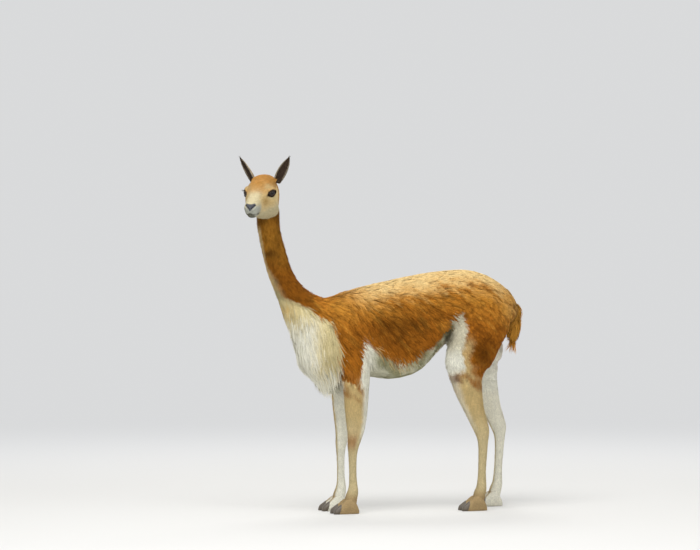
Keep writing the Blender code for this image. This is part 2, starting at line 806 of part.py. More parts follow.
def stand_on_origin():
    """Moves every node so that the middle of the lowest face of the whole box is the origin."""
    nodes = [o for o in bpy.context.scene.objects if o.type == "MESH"]
    points = [v.co for o in nodes for v in o.data.vertices]
    low = [min(p[k] for p in points) for k in range(3)]
    high = [max(p[k] for p in points) for k in range(3)]
    shift = Vector(((low[0] + high[0]) / 2, (low[1] + high[1]) / 2, low[2]))
    for node in nodes:
        node.data.transform(Matrix.Translation(-shift))


def main():
    clear_scene()
    body = build_body()
    head = build_head()
    left_eye, right_eye = build_eye(1), build_eye(-1)
    for side, name in ((1, "left"), (-1, "right")):
        ear = build_ear(side)
        swollen = grown(head, "swollen")
        boolean(ear, swollen, "DIFFERENCE")
        remove(swollen)
        finish(keep_largest(ear), f"ear_{name}", "ear")
    finish(head, "head", "tan")
    finish(left_eye, "eye_left", "eye")
    finish(right_eye, "eye_right", "eye")

    neck = copy_of(body, "neck")
    point, way = HEAD_SEAM
    cut_by_plane(neck, point - way * GAP / 2, -way)
    point, way = NECK_SEAM
    cut_by_plane(neck, point + way * GAP / 2, way)
    finish(neck, "neck", "cinnamon")

    legs = {}
    for side, name in ((-1, "left"), (1, "right")):
        for outline, kind in ((FORELEG_REGION, "foreleg"), (HINDLEG_REGION, "hindleg")):
            legs[f"{kind}_{name}"] = build_leg(body, outline, side, f"{kind}_{name}")

    torso = body
    cut_by_plane(torso, point - way * GAP / 2, -way)
    for outline in (FORELEG_REGION, HINDLEG_REGION):
        region = prism("region", outline, -REACH, REACH, CUT_GAP)
        boolean(torso, region, "DIFFERENCE")
        remove(region)
    keep_largest(torso)
    chest = copy_of(torso, "chest")
    region = prism("region", CHEST_REGION, -REACH, REACH)
    boolean(chest, region, "INTERSECT")
    remove(region)
    region = prism("region", [(x + GAP, z + GAP) for x, z in CHEST_REGION], -REACH, REACH)
    boolean(torso, region, "DIFFERENCE")
    remove(region)
    keep_largest(chest)
    keep_largest(torso)

    tail_rows = [(Vector((x, 0, z)), d, w) for x, z, d, w in spline(TAIL, 2)]
    tail = skin_rings("tail", path_rings(tail_rows, 12))
    swollen = grown(torso, "swollen")
    boolean(tail, swollen, "DIFFERENCE")
    remove(swollen)
    keep_largest(tail)

    draw = random.Random(SEED)
    forelegs = [legs["foreleg_left"], legs["foreleg_right"]]
    hindlegs = [legs["hindleg_left"], legs["hindleg_right"]]
    fuse_locks(torso, flank_locks(torso, draw), [chest, neck, *forelegs, *hindlegs])
    fuse_locks(chest, bib_locks(chest, draw), [torso, neck, *forelegs])
    fuse_locks(tail, tail_locks(tail, tail_rows, draw), [torso])
    finish(tail, "tail", "cinnamon")

    feet = [
        ("fore_left", FORELEG, -1, 0), ("fore_right", FORELEG, 1, 0),
        ("hind_left", HINDLEG, -1, 0), ("hind_right", HINDLEG, 1, HIND_SWING[0][1]),
    ]
    for name, table, side, shift in feet:
        x, y = table[-1][0] + shift, side * table[-1][1]
        for outward, place in ((side, "outer"), (-side, "inner")):
            toe, nail = build_toe(x, y, outward)
            finish(toe, f"toe_{name}_{place}", "tan")
            finish(nail, f"nail_{name}_{place}", "nail")

    for name, leg in legs.items():
        finish(leg, name, "tan")
    finish(chest, "chest", "cream")
    finish(torso, "torso", "cinnamon")
    stand_on_origin()


main()
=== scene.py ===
import math
import random

import bmesh
import bpy
import numpy as np
from mathutils import Matrix, Vector
from mathutils.bvhtree import BVHTree
from mathutils.kdtree import KDTree


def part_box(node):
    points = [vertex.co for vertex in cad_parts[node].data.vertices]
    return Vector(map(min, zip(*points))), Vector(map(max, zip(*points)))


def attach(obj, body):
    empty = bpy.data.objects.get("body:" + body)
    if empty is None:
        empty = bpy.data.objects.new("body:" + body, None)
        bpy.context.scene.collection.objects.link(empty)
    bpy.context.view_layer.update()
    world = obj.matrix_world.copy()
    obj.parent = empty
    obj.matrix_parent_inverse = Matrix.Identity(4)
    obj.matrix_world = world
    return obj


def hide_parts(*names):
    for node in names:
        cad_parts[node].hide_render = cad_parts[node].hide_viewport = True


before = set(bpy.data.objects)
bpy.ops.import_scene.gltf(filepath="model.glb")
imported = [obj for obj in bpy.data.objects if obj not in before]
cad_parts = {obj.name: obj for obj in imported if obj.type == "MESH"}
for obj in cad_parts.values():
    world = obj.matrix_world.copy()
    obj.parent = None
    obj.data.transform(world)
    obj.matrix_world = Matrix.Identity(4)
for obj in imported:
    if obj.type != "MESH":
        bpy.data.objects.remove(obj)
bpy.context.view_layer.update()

# A standing vicuna, life size. It faces -X, its left side is -Y and it stands on z = 0.
# One skin takes the place of the flesh nodes, and the coat is solid tufts rooted in that skin.

# small helpers


def linearFromHex(text):
    value = [int(text[i : i + 2], 16) / 255 for i in (0, 2, 4)]
    return np.array([c / 12.92 if c <= 0.04045 else ((c + 0.055) / 1.055) ** 2.4 for c in value])


def addNode(tree, kind, settings=None, links=None):
    made = tree.nodes.new(kind)
    for key, value in (settings or {}).items():
        if key in made.inputs:
            made.inputs[key].default_value = value
        else:
            setattr(made, key, value)
    for key, source in (links or {}).items():
        tree.links.new(source, made.inputs[key])
    return made


def newMaterial(name):
    made = bpy.data.materials.new(name)
    made.use_nodes = True
    made.node_tree.nodes.clear()
    return made, made.node_tree


def finishMaterial(tree, shader):
    addNode(tree, "ShaderNodeOutputMaterial", None, {"Surface": shader.outputs["BSDF"]})


def addObject(name, data):
    made = bpy.data.objects.new(name, data)
    bpy.context.scene.collection.objects.link(made)
    return made


def deselectAll():
    for found in bpy.context.selected_objects:
        found.select_set(False)


def makeActive(thing):
    deselectAll()
    thing.select_set(True)
    bpy.context.view_layer.objects.active = thing


def applyModifier(thing, name):
    makeActive(thing)
    bpy.ops.object.modifier_apply(modifier=name)


def step(low, high, x):
    t = np.clip((x - low) / (high - low), 0, 1)
    return t * t * (3 - 2 * t)


def blend(a, b, t):
    return a + (b - a) * np.asarray(t)[..., None]


def unit(v):
    return v / np.maximum(np.linalg.norm(v, axis=-1, keepdims=True), 1e-9)


def noiseAt(points, scale, seed=0):
    # smooth value noise, 0 to 1, on a lattice of that size in metres
    p = np.asarray(points) / scale + seed * 17.31
    low = np.floor(p)
    f = p - low
    f = f * f * (3 - 2 * f)
    total = np.zeros(len(p))
    for dx in (0, 1):
        for dy in (0, 1):
            for dz in (0, 1):
                q = low + (dx, dy, dz)
                h = np.sin(q @ np.array([12.9898, 78.233, 37.719]) + seed * 3.7) * 43758.5453
                h = h - np.floor(h)
                w = (f[:, 0] if dx else 1 - f[:, 0]) * (f[:, 1] if dy else 1 - f[:, 1])
                total += h * w * (f[:, 2] if dz else 1 - f[:, 2])
    return total


def spline(rows, perSpan):
    # a smooth line through rows of numbers, that many steps between two rows
    ends = [rows[0], *rows, rows[-1]]
    found = []
    for i in range(len(rows) - 1):
        a, b, c, d = ends[i : i + 4]
        for k in range(perSpan):
            t = k / perSpan
            shares = -t + 2 * t**2 - t**3, 2 - 5 * t**2 + 3 * t**3, t + 4 * t**2 - 3 * t**3, t**3 - t**2
            found.append(tuple(sum(s * v for s, v in zip(shares, column)) / 2 for column in zip(a, b, c, d)))
    found.append(tuple(rows[-1]))
    return found


def shapeFromRings(name, rings):
    # a closed tube through rings of points, a fan on each end
    bm = bmesh.new()
    loops = [[bm.verts.new(p) for p in ring] for ring in rings]
    n = len(rings[0])
    for a, b in zip(loops, loops[1:]):
        for i in range(n):
            j = (i + 1) % n
            bm.faces.new((a[i], a[j], b[j], b[i]))
    for loop in (loops[0], loops[-1]):
        middle = bm.verts.new(sum((v.co for v in loop), Vector()) / n)
        for i in range(n):
            bm.faces.new((loop[i], loop[(i + 1) % n], middle))
    bmesh.ops.recalc_face_normals(bm, faces=bm.faces)
    mesh = bpy.data.meshes.new(name)
    bm.to_mesh(mesh)
    bm.free()
    return addObject(name, mesh)


def uprightRing(x, top, bottom, halfWidth, squareness=2.15, sides=40):
    middle, half = (top + bottom) / 2, (top - bottom) / 2
    ring = []
    for i in range(sides):
        c, s = math.cos(math.tau * i / sides), math.sin(math.tau * i / sides)
        ring.append(Vector((
            x,
            halfWidth * math.copysign(abs(c) ** (2 / squareness), c),
            middle + half * math.copysign(abs(s) ** (2 / squareness), s),
        )))
    return ring


def ringsOnPath(rows, sides, reference=Vector((0, 1, 0))):
    rings = []
    for i, (centre, across, beside) in enumerate(rows):
        along = (rows[min(i + 1, len(rows) - 1)][0] - rows[max(i - 1, 0)][0]).normalized()
        side = (reference - along * reference.dot(along)).normalized()
        fore = side.cross(along)
        turns = [math.tau * k / sides for k in range(sides)]
        rings.append([centre + fore * across * math.cos(t) + side * beside * math.sin(t) for t in turns])
    return rings


def joinShapes(name, shapes):
    deselectAll()
    for found in shapes:
        found.select_set(True)
    bpy.context.view_layer.objects.active = shapes[0]
    bpy.ops.object.join()
    shapes[0].name = name
    return shapes[0]


def relax(thing, rounds, group=""):
    smoother = thing.modifiers.new("relax", "SMOOTH")
    smoother.factor = 0.5
    smoother.iterations = rounds
    smoother.vertex_group = group
    applyModifier(thing, "relax")


def melt(thing, voxel, rounds):
    # overlapping closed forms run together into one smooth skin
    remesh = thing.modifiers.new("remesh", "REMESH")
    remesh.mode = "VOXEL"
    remesh.voxel_size = voxel
    applyModifier(thing, "remesh")
    relax(thing, rounds)
    return thing


def movedBy(matrix, points):
    # rows of points, each moved as the matrix says
    m = np.array(matrix)
    return points @ m[:3, :3].T + m[:3, 3]


def seenFrom(matrix, points):
    # the same points in the frame that the matrix places
    return movedBy(matrix.inverted(), points)


def getPoints(mesh, kind="co"):
    found = np.empty(len(mesh.vertices) * 3)
    mesh.vertices.foreach_get(kind, found)
    return found.reshape(-1, 3)


def setPoints(mesh, points):
    mesh.vertices.foreach_set("co", np.asarray(points, float).ravel())
    mesh.update()


# camera first: the photograph's side view, a little from the front

view = {
    "azimuth": -18.0, "elevation": 2.0, "distance": 18.0, "metresPerPixel": 0.00386, "feetAt": (405, 510),
    "frame": (700, 550), "sensor": 36,
}

headPlace = {
    "place": Vector((-0.601, -0.070, 1.213)), "yaw": math.radians(54), "pitch": math.radians(15),
    "eyePlace": Vector((0.016, 0.0435, 0.021)), "eyeTurn": math.radians(56), "eyeRadius": 0.0185,
}
headMatrix = (
    Matrix.Translation(headPlace["place"])
    @ Matrix.Rotation(math.pi + headPlace["yaw"], 4, "Z")
    @ Matrix.Rotation(headPlace["pitch"], 4, "Y")
)
# the forms below are measured from under the middle of the body; the left eye tells where that is
eyeLow, eyeHigh = (Vector(corner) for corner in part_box("eye_left"))
home = (eyeLow + eyeHigh) / 2 - headMatrix @ headPlace["eyePlace"]
home.z = 0.0
homeArray = np.array(home)


def directionOf(azimuth, elevation):
    a, e = math.radians(azimuth), math.radians(elevation)
    return Vector((math.sin(a) * math.cos(e), -math.cos(a) * math.cos(e), math.sin(e)))


def addCamera():
    toEye = directionOf(view["azimuth"], view["elevation"])
    right = Vector((-toEye.y, toEye.x, 0)).normalized()
    up = toEye.cross(right)
    wide, high = view["frame"]
    moveRight = (wide / 2 - view["feetAt"][0]) * view["metresPerPixel"]
    moveUp = (view["feetAt"][1] - high / 2) * view["metresPerPixel"]
    data = bpy.data.cameras.new("camera")
    data.sensor_width = view["sensor"]
    data.lens = view["sensor"] * view["distance"] / (wide * view["metresPerPixel"])
    data.clip_end = 200
    made = addObject("camera", data)
    made.location = home + right * moveRight + up * moveUp + toEye * view["distance"]
    made.rotation_euler = toEye.to_track_quat("Z", "Y").to_euler()
    bpy.context.scene.camera = made


addCamera()

# stage: pale floor, soft studio light

stage = {
    "floorNear": "DAD9D6", "floorFar": "FFFFFF", "floorSize": 160, "fade": (1.4, 5.5),
    "sky": "F0F1F2", "skyStrength": 0.80, "lightsLookAt": 0.7,
    "lights": [  # name, azimuth and elevation from the body, distance, size, power
        ("keyLight", -35, 58, 4.2, 2.6, 100),
        ("frontLight", -22, 12, 5.5, 3.0, 62),
        ("fillLight", 40, 22, 5.0, 3.2, 30),
        ("rimLight", 160, 50, 4.5, 2.2, 60),
    ],
}


def opaque(text):
    return (*linearFromHex(text), 1)


def paperMaterial():
    # matt studio paper: dull all over, and it pales into the sky's own colour, so that no horizon shows
    made, tree = newMaterial("matt studio paper")
    near, far = stage["fade"]
    place = addNode(tree, "ShaderNodeTexCoord")
    away = addNode(tree, "ShaderNodeVectorMath", {"operation": "LENGTH"}, {"Vector": place.outputs["Object"]})
    fade = addNode(tree, "ShaderNodeMapRange", {"From Min": near, "From Max": far},
                   {"Value": away.outputs["Value"]})
    fade.interpolation_type = "SMOOTHSTEP"
    paper = addNode(tree, "ShaderNodeMix", {"data_type": "RGBA"})
    paper.inputs[6].default_value = opaque(stage["floorNear"])
    paper.inputs[7].default_value = opaque(stage["floorFar"])
    tree.links.new(fade.outputs["Result"], paper.inputs[0])
    shader = addNode(tree, "ShaderNodeBsdfPrincipled", {"Roughness": 1.0, "Specular IOR Level": 0.0})
    tree.links.new(paper.outputs[2], shader.inputs["Base Color"])
    glow = addNode(tree, "ShaderNodeEmission",
                   {"Color": opaque(stage["sky"]), "Strength": stage["skyStrength"]})
    meet = addNode(tree, "ShaderNodeMixShader", None,
                   {0: fade.outputs["Result"], 1: shader.outputs["BSDF"], 2: glow.outputs["Emission"]})
    addNode(tree, "ShaderNodeOutputMaterial", None, {"Surface": meet.outputs["Shader"]})
    return made


def addStage():
    deselectAll()
    bpy.ops.mesh.primitive_plane_add(size=stage["floorSize"], location=(0, 0, -0.0005))
    floor = bpy.context.object
    floor.name = "floor"
    bpy.ops.object.transform_apply(location=True, rotation=True, scale=True)
    floor.data.materials.append(paperMaterial())
    world = bpy.data.worlds.new("studio")
    bpy.context.scene.world = world
    world.use_nodes = True
    sky = world.node_tree.nodes["Background"]
    sky.inputs["Color"].default_value = opaque(stage["sky"])
    sky.inputs["Strength"].default_value = stage["skyStrength"]
    for name, azimuth, elevation, distance, size, power in stage["lights"]:
        out = directionOf(azimuth, elevation)
        lamp = bpy.data.lights.new(name, "AREA")
        lamp.shape = "DISK"
        lamp.size = size
        lamp.energy = power
        made = addObject(name, lamp)
        made.location = Vector((0, 0, stage["lightsLookAt"])) + out * distance
        made.rotation_euler = out.to_track_quat("Z", "Y").to_euler()


addStage()
bpy.context.scene.view_settings.view_transform = "Standard"   # shows the materials' own colours
print("stage ready")

# body, in metres, x along it, z up

# borders of the coat and its markings: (height, place along the body); the last two are the other way round
borders = {
    # how far the right hind leg is set back
    "swing": [
        (0, 0.128), (0.31, 0.134), (0.45, 0.132), (0.52, 0.128), (0.60, 0.104), (0.70, 0.045), (0.82, 0),
    ],
    # how far back the white chest reaches
    "bib": [
        (0.50, -0.276), (0.54, -0.286), (0.58, -0.296), (0.62, -0.303), (0.656, -0.305), (0.695, -0.312),
        (0.726, -0.326), (0.745, -0.340), (0.757, -0.374), (0.784, -0.410), (0.807, -0.446), (0.818, -0.476),
        (0.835, -0.502), (0.855, -0.522), (0.88, -0.545), (0.90, -0.60),
    ],
    # the locks of the chest don't stand further out than this
    "bibFront": [
        (0.44, -0.325), (0.467, -0.352), (0.521, -0.405), (0.56, -0.432), (0.625, -0.472), (0.695, -0.497),
        (0.76, -0.510), (0.80, -0.519), (0.84, -0.54),
    ],
    # nor those of the tail further back than this
    "tailBack": [
        (0.62, 0.445), (0.657, 0.453), (0.683, 0.463), (0.704, 0.472), (0.7295, 0.4785), (0.755, 0.474),
        (0.793, 0.463), (0.83, 0.44),
    ],
    # back edge of the white band down the front of the left thigh, and the fold in front of it
    "thigh": [
        (0.50, 0.196), (0.548, 0.192), (0.579, 0.186), (0.6176, 0.193), (0.656, 0.205), (0.695, 0.209),
        (0.733, 0.205), (0.753, 0.197),
    ],
    "fold": [(0.50, 0.05), (0.60, 0.09), (0.656, 0.135), (0.69, 0.158), (0.733, 0.163), (0.76, 0.170)],
    # lower edge of the brown flank, and the line of the back
    "flank": [
        (-0.226, 0.44), (-0.214, 0.60), (-0.206, 0.672), (-0.178, 0.637), (-0.1455, 0.610), (-0.105, 0.587),
        (-0.063, 0.571), (-0.022, 0.575), (0.021, 0.598), (0.0615, 0.629), (0.102, 0.668), (0.1305, 0.695),
        (0.155, 0.741), (0.171, 0.772), (0.185, 0.78),
    ],
    "back": [
        (-0.45, 0.80), (-0.33, 0.82), (-0.25, 0.845), (-0.05, 0.89), (0.15, 0.922), (0.25, 0.925),
        (0.33, 0.903), (0.40, 0.86), (0.45, 0.79),
    ],
}


def border(name, at):
    return np.interp(at, *zip(*borders[name]))


def setBack(z, y):
    return np.where(y > 0, border("swing", z), 0)


# the left side's forms; the right is their mirror image
bodyForm = {
    "voxel": 0.0055, "smoothing": 6,
    "torso": [  # x, top, bottom, half width
        (-0.436, 0.735, 0.645, 0.040), (-0.402, 0.785, 0.580, 0.072), (-0.330, 0.820, 0.540, 0.100),
        (-0.250, 0.845, 0.528, 0.116), (-0.150, 0.871, 0.518, 0.128), (-0.050, 0.891, 0.508, 0.135),
        (0.050, 0.910, 0.538, 0.135), (0.150, 0.922, 0.634, 0.130), (0.250, 0.925, 0.702, 0.130),
        (0.330, 0.903, 0.695, 0.124), (0.395, 0.862, 0.700, 0.104), (0.430, 0.825, 0.715, 0.078),
        (0.452, 0.790, 0.745, 0.040),
    ],
    "neck": [  # x, y, z, half depth, half width
        (-0.574, -0.036, 1.215, 0.040, 0.042), (-0.557, -0.012, 1.160, 0.047, 0.044),
        (-0.551, -0.002, 1.100, 0.046, 0.042), (-0.541, 0.000, 1.050, 0.0455, 0.041),
        (-0.525, 0.000, 0.990, 0.0475, 0.043), (-0.503, 0.000, 0.918, 0.048, 0.047),
        (-0.466, 0.000, 0.847, 0.056, 0.055), (-0.410, 0.000, 0.776, 0.080, 0.075),
        (-0.330, 0.000, 0.715, 0.108, 0.092),
    ],
    "foreleg": [  # x, y, z, half depth, half width
        (-0.255, 0.062, 0.760, 0.070, 0.040), (-0.250, 0.070, 0.680, 0.076, 0.046),
        (-0.236, 0.078, 0.600, 0.068, 0.046), (-0.226, 0.078, 0.540, 0.058, 0.043),
        (-0.224, 0.077, 0.480, 0.053, 0.039), (-0.223, 0.076, 0.400, 0.0475, 0.034),
        (-0.224, 0.075, 0.330, 0.038, 0.028), (-0.229, 0.075, 0.290, 0.029, 0.026),
        (-0.235, 0.075, 0.258, 0.0235, 0.0245), (-0.237, 0.075, 0.215, 0.0175, 0.0175),
        (-0.236, 0.075, 0.130, 0.0165, 0.0160), (-0.235, 0.075, 0.088, 0.0210, 0.0220),
        (-0.242, 0.075, 0.062, 0.0240, 0.0280), (-0.248, 0.075, 0.030, 0.0240, 0.0290),
    ],
    "hindleg": [
        (0.330, 0.055, 0.820, 0.095, 0.050), (0.300, 0.072, 0.740, 0.112, 0.060),
        (0.262, 0.086, 0.660, 0.104, 0.057), (0.223, 0.094, 0.578, 0.096, 0.050),
        (0.217, 0.095, 0.532, 0.077, 0.045), (0.222, 0.094, 0.485, 0.062, 0.040),
        (0.234, 0.093, 0.440, 0.052, 0.036), (0.252, 0.092, 0.385, 0.041, 0.031),
        (0.270, 0.091, 0.340, 0.035, 0.028), (0.283, 0.090, 0.305, 0.031, 0.026),
        (0.287, 0.090, 0.255, 0.0210, 0.0185), (0.283, 0.090, 0.150, 0.0175, 0.0160),
        (0.281, 0.090, 0.090, 0.0210, 0.0215), (0.273, 0.090, 0.062, 0.0240, 0.0270),
        (0.266, 0.090, 0.030, 0.0230, 0.0280),
    ],
    "tail": [  # x, z, half depth, half width
        (0.415, 0.805, 0.016, 0.022), (0.434, 0.775, 0.018, 0.024), (0.443, 0.735, 0.018, 0.024),
        (0.445, 0.700, 0.016, 0.021), (0.441, 0.672, 0.012, 0.015), (0.437, 0.652, 0.005, 0.007),
    ],
}
toeForm = {
    "rows": [  # x from the foot's middle, top, half width
        (0.030, 0.016, 0.0075), (0.020, 0.038, 0.0130), (0.004, 0.056, 0.0155), (-0.018, 0.054, 0.0160),
        (-0.038, 0.038, 0.0155), (-0.056, 0.026, 0.0135), (-0.070, 0.014, 0.0085),
    ],
    "spacing": 0.0335, "splay": math.radians(5), "underside": -0.25,
    "nailRoot": -0.054, "nailSlant": (-0.95, 0, 0.31), "nailStart": -0.026,
    "nailTip": [(-0.0665, 0.0180, 0.0108), (-0.0700, 0.0120, 0.0078), (-0.0722, 0.0050, 0.0040)],
    "underNailFrom": -0.050, "skinUnderNail": 0.84, "skinEnd": -0.066,
    # no hair grows on the nail: the reach of that place to the side, to the front and back, and upwards
    "bare": {"beside": 0.017, "front": -0.080, "back": -0.020, "top": 0.050, "margin": 0.0015},
}
feet = [
    ("fore_left", -0.248, -0.075), ("fore_right", -0.248, 0.075),
    ("hind_left", 0.266, -0.090), ("hind_right", 0.394, 0.090),
]


def makeBody():
    shapes = [shapeFromRings("torsoForm", [uprightRing(*row) for row in spline(bodyForm["torso"], 6)])]
    neck = [(Vector((x, y, z)), d, w) for x, y, z, d, w in spline(bodyForm["neck"], 6)]
    shapes.append(shapeFromRings("neckForm", ringsOnPath(neck, 32)))
    for side in (-1, 1):
        for table in ("foreleg", "hindleg"):
            rows = []
            for x, y, z, d, w in spline(bodyForm[table], 5):
                shift = float(setBack(z, side)) if table == "hindleg" else 0
                rows.append((Vector((x + shift, side * y, z)), d, w))
            shapes.append(shapeFromRings("legForm", ringsOnPath(rows, 28)))
    tail = [(Vector((x, 0, z)), d, w) for x, z, d, w in spline(bodyForm["tail"], 4)]
    shapes.append(shapeFromRings("tailForm", ringsOnPath(tail, 20)))
    return melt(joinShapes("skin", shapes), bodyForm["voxel"], bodyForm["smoothing"])


def nailSide(x, z):
    # over 0 on the nail's side of its slanted root
    across, _, up = toeForm["nailSlant"]
    return across * (x - toeForm["nailRoot"]) + up * z


def toeRing(x, top, halfWidth, sides, scale=1.0):
    ring = uprightRing(x, top * scale, toeForm["underside"] * top * scale, halfWidth * scale, 2.3, sides)
    return [Vector((p.x, p.y, max(p.z, 0.0))) for p in ring]


def toeMatrix(footX, footY, outward):
    place = Matrix.Translation((footX, footY + outward * toeForm["spacing"] / 2, 0))
    return place @ Matrix.Rotation(-outward * toeForm["splay"], 4, "Z")


def makeToe(footX, footY, outward):
    rings = []
    for x, top, halfWidth in spline(toeForm["rows"], 3):
        if x < toeForm["skinEnd"]:
            break
        under = toeForm["skinUnderNail"] if x < toeForm["underNailFrom"] else 1.0
        rings.append(toeRing(x, top, halfWidth, 20, under))
    made = shapeFromRings("toeForm", rings)
    made.data.transform(toeMatrix(footX, footY, outward))
    return made


# head form in its own frame: x to the nose, y to its left

headForm = {
    "voxel": 0.0019, "smoothing": 3,
    "skull": [  # x, top, bottom, half width, squareness
        (-0.104, 0.026, -0.034, 0.026, 2.0), (-0.092, 0.050, -0.060, 0.045, 2.1),
        (-0.062, 0.067, -0.088, 0.053, 2.4), (-0.028, 0.071, -0.093, 0.0575, 2.5),
        (0.006, 0.066, -0.083, 0.0590, 2.4), (0.036, 0.051, -0.068, 0.052, 2.3),
        (0.066, 0.034, -0.055, 0.040, 2.3), (0.094, 0.024, -0.049, 0.032, 2.4),
        (0.114, 0.017, -0.046, 0.028, 2.4), (0.129, 0.008, -0.040, 0.023, 2.3),
        (0.137, -0.004, -0.030, 0.013, 2.0),
    ],
    "swellings": [  # place, half sizes, turn: brow over the eye, cheek, upper lip, chin, crown
        ((0.008, 0.043, 0.022), (0.028, 0.022, 0.023), -30),
        ((-0.026, 0.034, -0.050), (0.036, 0.024, 0.036), 0),
        ((0.113, 0.014, -0.012), (0.021, 0.0165, 0.0150), -12),
        ((0.110, 0.0, -0.039), (0.021, 0.0195, 0.0110), 0),
        ((-0.042, 0.0, 0.048), (0.044, 0.050, 0.028), 0),
    ],
    "lidWall": 0.0026, "lidEdge": 0.0006, "eyeHollow": 0.012, "opening": (0.0184, 0.0114),
    "openingTilt": math.radians(8),
    "mouth": [
        (0.136, 0.0, -0.0285), (0.127, 0.014, -0.0300), (0.108, 0.025, -0.0335), (0.088, 0.031, -0.0375),
    ],
    "mouthDepth": 0.00378, "mouthWidth": 0.0022,
    "nostril": [
        (0.1375, 0.0052, -0.0090), (0.1345, 0.0112, -0.0030), (0.1255, 0.0170, 0.0010),
        (0.119, 0.0190, 0.0005),
    ],
    "nostrilDepth": 0.0075, "nostrilWidth": 0.0024, "rimAt": 0.0062, "rimHeight": 0.0012, "rimWidth": 0.0026,
    # half width of the bare nose pad at each height
    "pad": [
        (-0.0165, 0.0015), (-0.0130, 0.0050), (-0.0070, 0.0125), (-0.0020, 0.0180), (0.0030, 0.0200),
        (0.0060, 0.0170),
    ],
    "cleft": [(0.139, 0, -0.0105), (0.136, 0, -0.0270)], "cleftDepth": 0.0022, "cleftWidth": 0.0014,
}
earForm = {
    "length": 0.108, "wall": 0.0034, "root": Vector((-0.058, 0.047, 0.040)),
    "spread": math.radians(29), "sweep": math.radians(10), "turn": math.radians(38), "floor": 0.06,
    "rows": [  # share of the length, half width, cup depth
        (0.00, 0.0140, 0.0120), (0.12, 0.0175, 0.0130), (0.30, 0.0205, 0.0120), (0.52, 0.0200, 0.0095),
        (0.74, 0.0150, 0.0065), (0.90, 0.0080, 0.0035), (1.00, 0.0022, 0.0012),
    ],
}


def mirrored(point, side):
    return Vector((point[0], point[1] * side, point[2]))


def eyeMatrix(side):
    turn = Matrix.Rotation(side * headPlace["eyeTurn"], 4, "Z")
    return Matrix.Translation(mirrored(headPlace["eyePlace"], side)) @ turn


def pathDistance(points, path):
    # distance from each point to a bent line
    best = np.full(len(points), 9.0)
    rows = [np.array(p) for p in spline(path, 6)]
    for a, b in zip(rows, rows[1:]):
        t = np.clip(((points - a) @ (b - a)) / max((b - a) @ (b - a), 1e-12), 0, 1)
        best = np.minimum(best, np.linalg.norm(points - (a + t[:, None] * (b - a)), axis=1))
    return best


def bothSides(path):
    return [[tuple(mirrored(p, side)) for p in path] for side in (1, -1)]


def eyeSpace(points, side):
    # points seen from the eye: x out of it, y along the lids, z up
    local = seenFrom(eyeMatrix(side), points)
    c, s = math.cos(headForm["openingTilt"] * side), math.sin(headForm["openingTilt"] * side)
    across = local[:, 1] * c + local[:, 2] * s
    up = -local[:, 1] * s + local[:, 2] * c
    halfWidth, halfHeight = headForm["opening"]
    share = across / halfWidth
    almond = np.hypot(share, up / (halfHeight * (1 - 0.25 * share**2)))
    almond[np.abs(share) > 1.6] = 3
    return local, almond


def dent(gap, depth, width):
    return (depth * np.exp(-((gap / width) ** 2)))[:, None]


def sculptHead(points, normals):
    p = points.copy()
    # lids over the eyeballs, open in the shape of an almond
    for side in (1, -1):
        local, almond = eyeSpace(p, side)
        radius = headPlace["eyeRadius"] + headForm["lidWall"]
        out = np.hypot(local[:, 1], local[:, 2])
        near = (local[:, 0] > 0) & (out < radius * 0.96)
        lid = np.sqrt(np.maximum(radius**2 - out**2, 0))
        raised = np.maximum(local[:, 0], lid + headForm["lidEdge"] * step(1.5, 1.05, almond))
        local[:, 0] = np.where(near, raised - headForm["eyeHollow"] * step(1.04, 0.92, almond), local[:, 0])
        p = np.where(near[:, None], movedBy(eyeMatrix(side), local), p)
    for path in bothSides(headForm["mouth"]):
        p -= normals * dent(pathDistance(points, path), headForm["mouthDepth"], headForm["mouthWidth"])
    for path in bothSides(headForm["nostril"]):
        gap = pathDistance(points, path)
        p -= normals * dent(gap, headForm["nostrilDepth"], headForm["nostrilWidth"])
        p += normals * dent(gap - headForm["rimAt"], headForm["rimHeight"], headForm["rimWidth"])
    gap = pathDistance(points, headForm["cleft"])
    return p - normals * dent(gap, headForm["cleftDepth"], headForm["cleftWidth"])


def makeHead():
    shapes = [shapeFromRings("skullForm", [uprightRing(*row, 40) for row in spline(headForm["skull"], 6)])]
    for place, sizes, turn in headForm["swellings"]:
        for side in (1, -1) if place[1] else (1,):
            deselectAll()
            bpy.ops.mesh.primitive_uv_sphere_add(segments=32, ring_count=20, radius=1)
            made = bpy.context.object
            spin = Matrix.Rotation(math.radians(turn) * side, 4, "Z")
            size = Matrix.Diagonal((*sizes, 1))
            made.data.transform(Matrix.Translation(mirrored(place, side)) @ spin @ size)
            shapes.append(made)
    head = melt(joinShapes("headSkin", shapes), headForm["voxel"], headForm["smoothing"])
    setPoints(head.data, sculptHead(getPoints(head.data), getPoints(head.data, "normal")))
    head.data.transform(headMatrix)
    return head


def earMatrix(side):
    return (
        headMatrix
        @ Matrix.Translation(mirrored(earForm["root"], side))
        @ Matrix.Rotation(-side * earForm["spread"], 4, "X")
        @ Matrix.Rotation(-earForm["sweep"], 4, "Y")
        @ Matrix.Rotation(side * earForm["turn"], 4, "Z")
    )


def makeEar(side):
    sides = 18
    rings = []
    for share, halfWidth, cup in spline(earForm["rows"], 6):
        outer, inner = [], []
        wall = min(earForm["wall"], halfWidth * 0.5)
        hollow = float(step(earForm["floor"], earForm["floor"] + 0.12, np.float64(share)))
        for k in range(sides + 1):
            across, back = math.cos(math.pi * k / sides), math.sin(math.pi * k / sides)
            z = share * earForm["length"]
            outer.append(Vector((-cup * back, halfWidth * across, z)))
            sink = max(0.0, cup - wall) * hollow - cup * 0.4 * (1 - hollow)
            inner.append(Vector((-sink * back, halfWidth * (1 - wall / halfWidth) * across, z)))
        rings.append(outer + inner[::-1])
    made = shapeFromRings("earForm", rings)
    made.data.transform(earMatrix(side))
    return made


# coat depth and lie, both from the place on the body


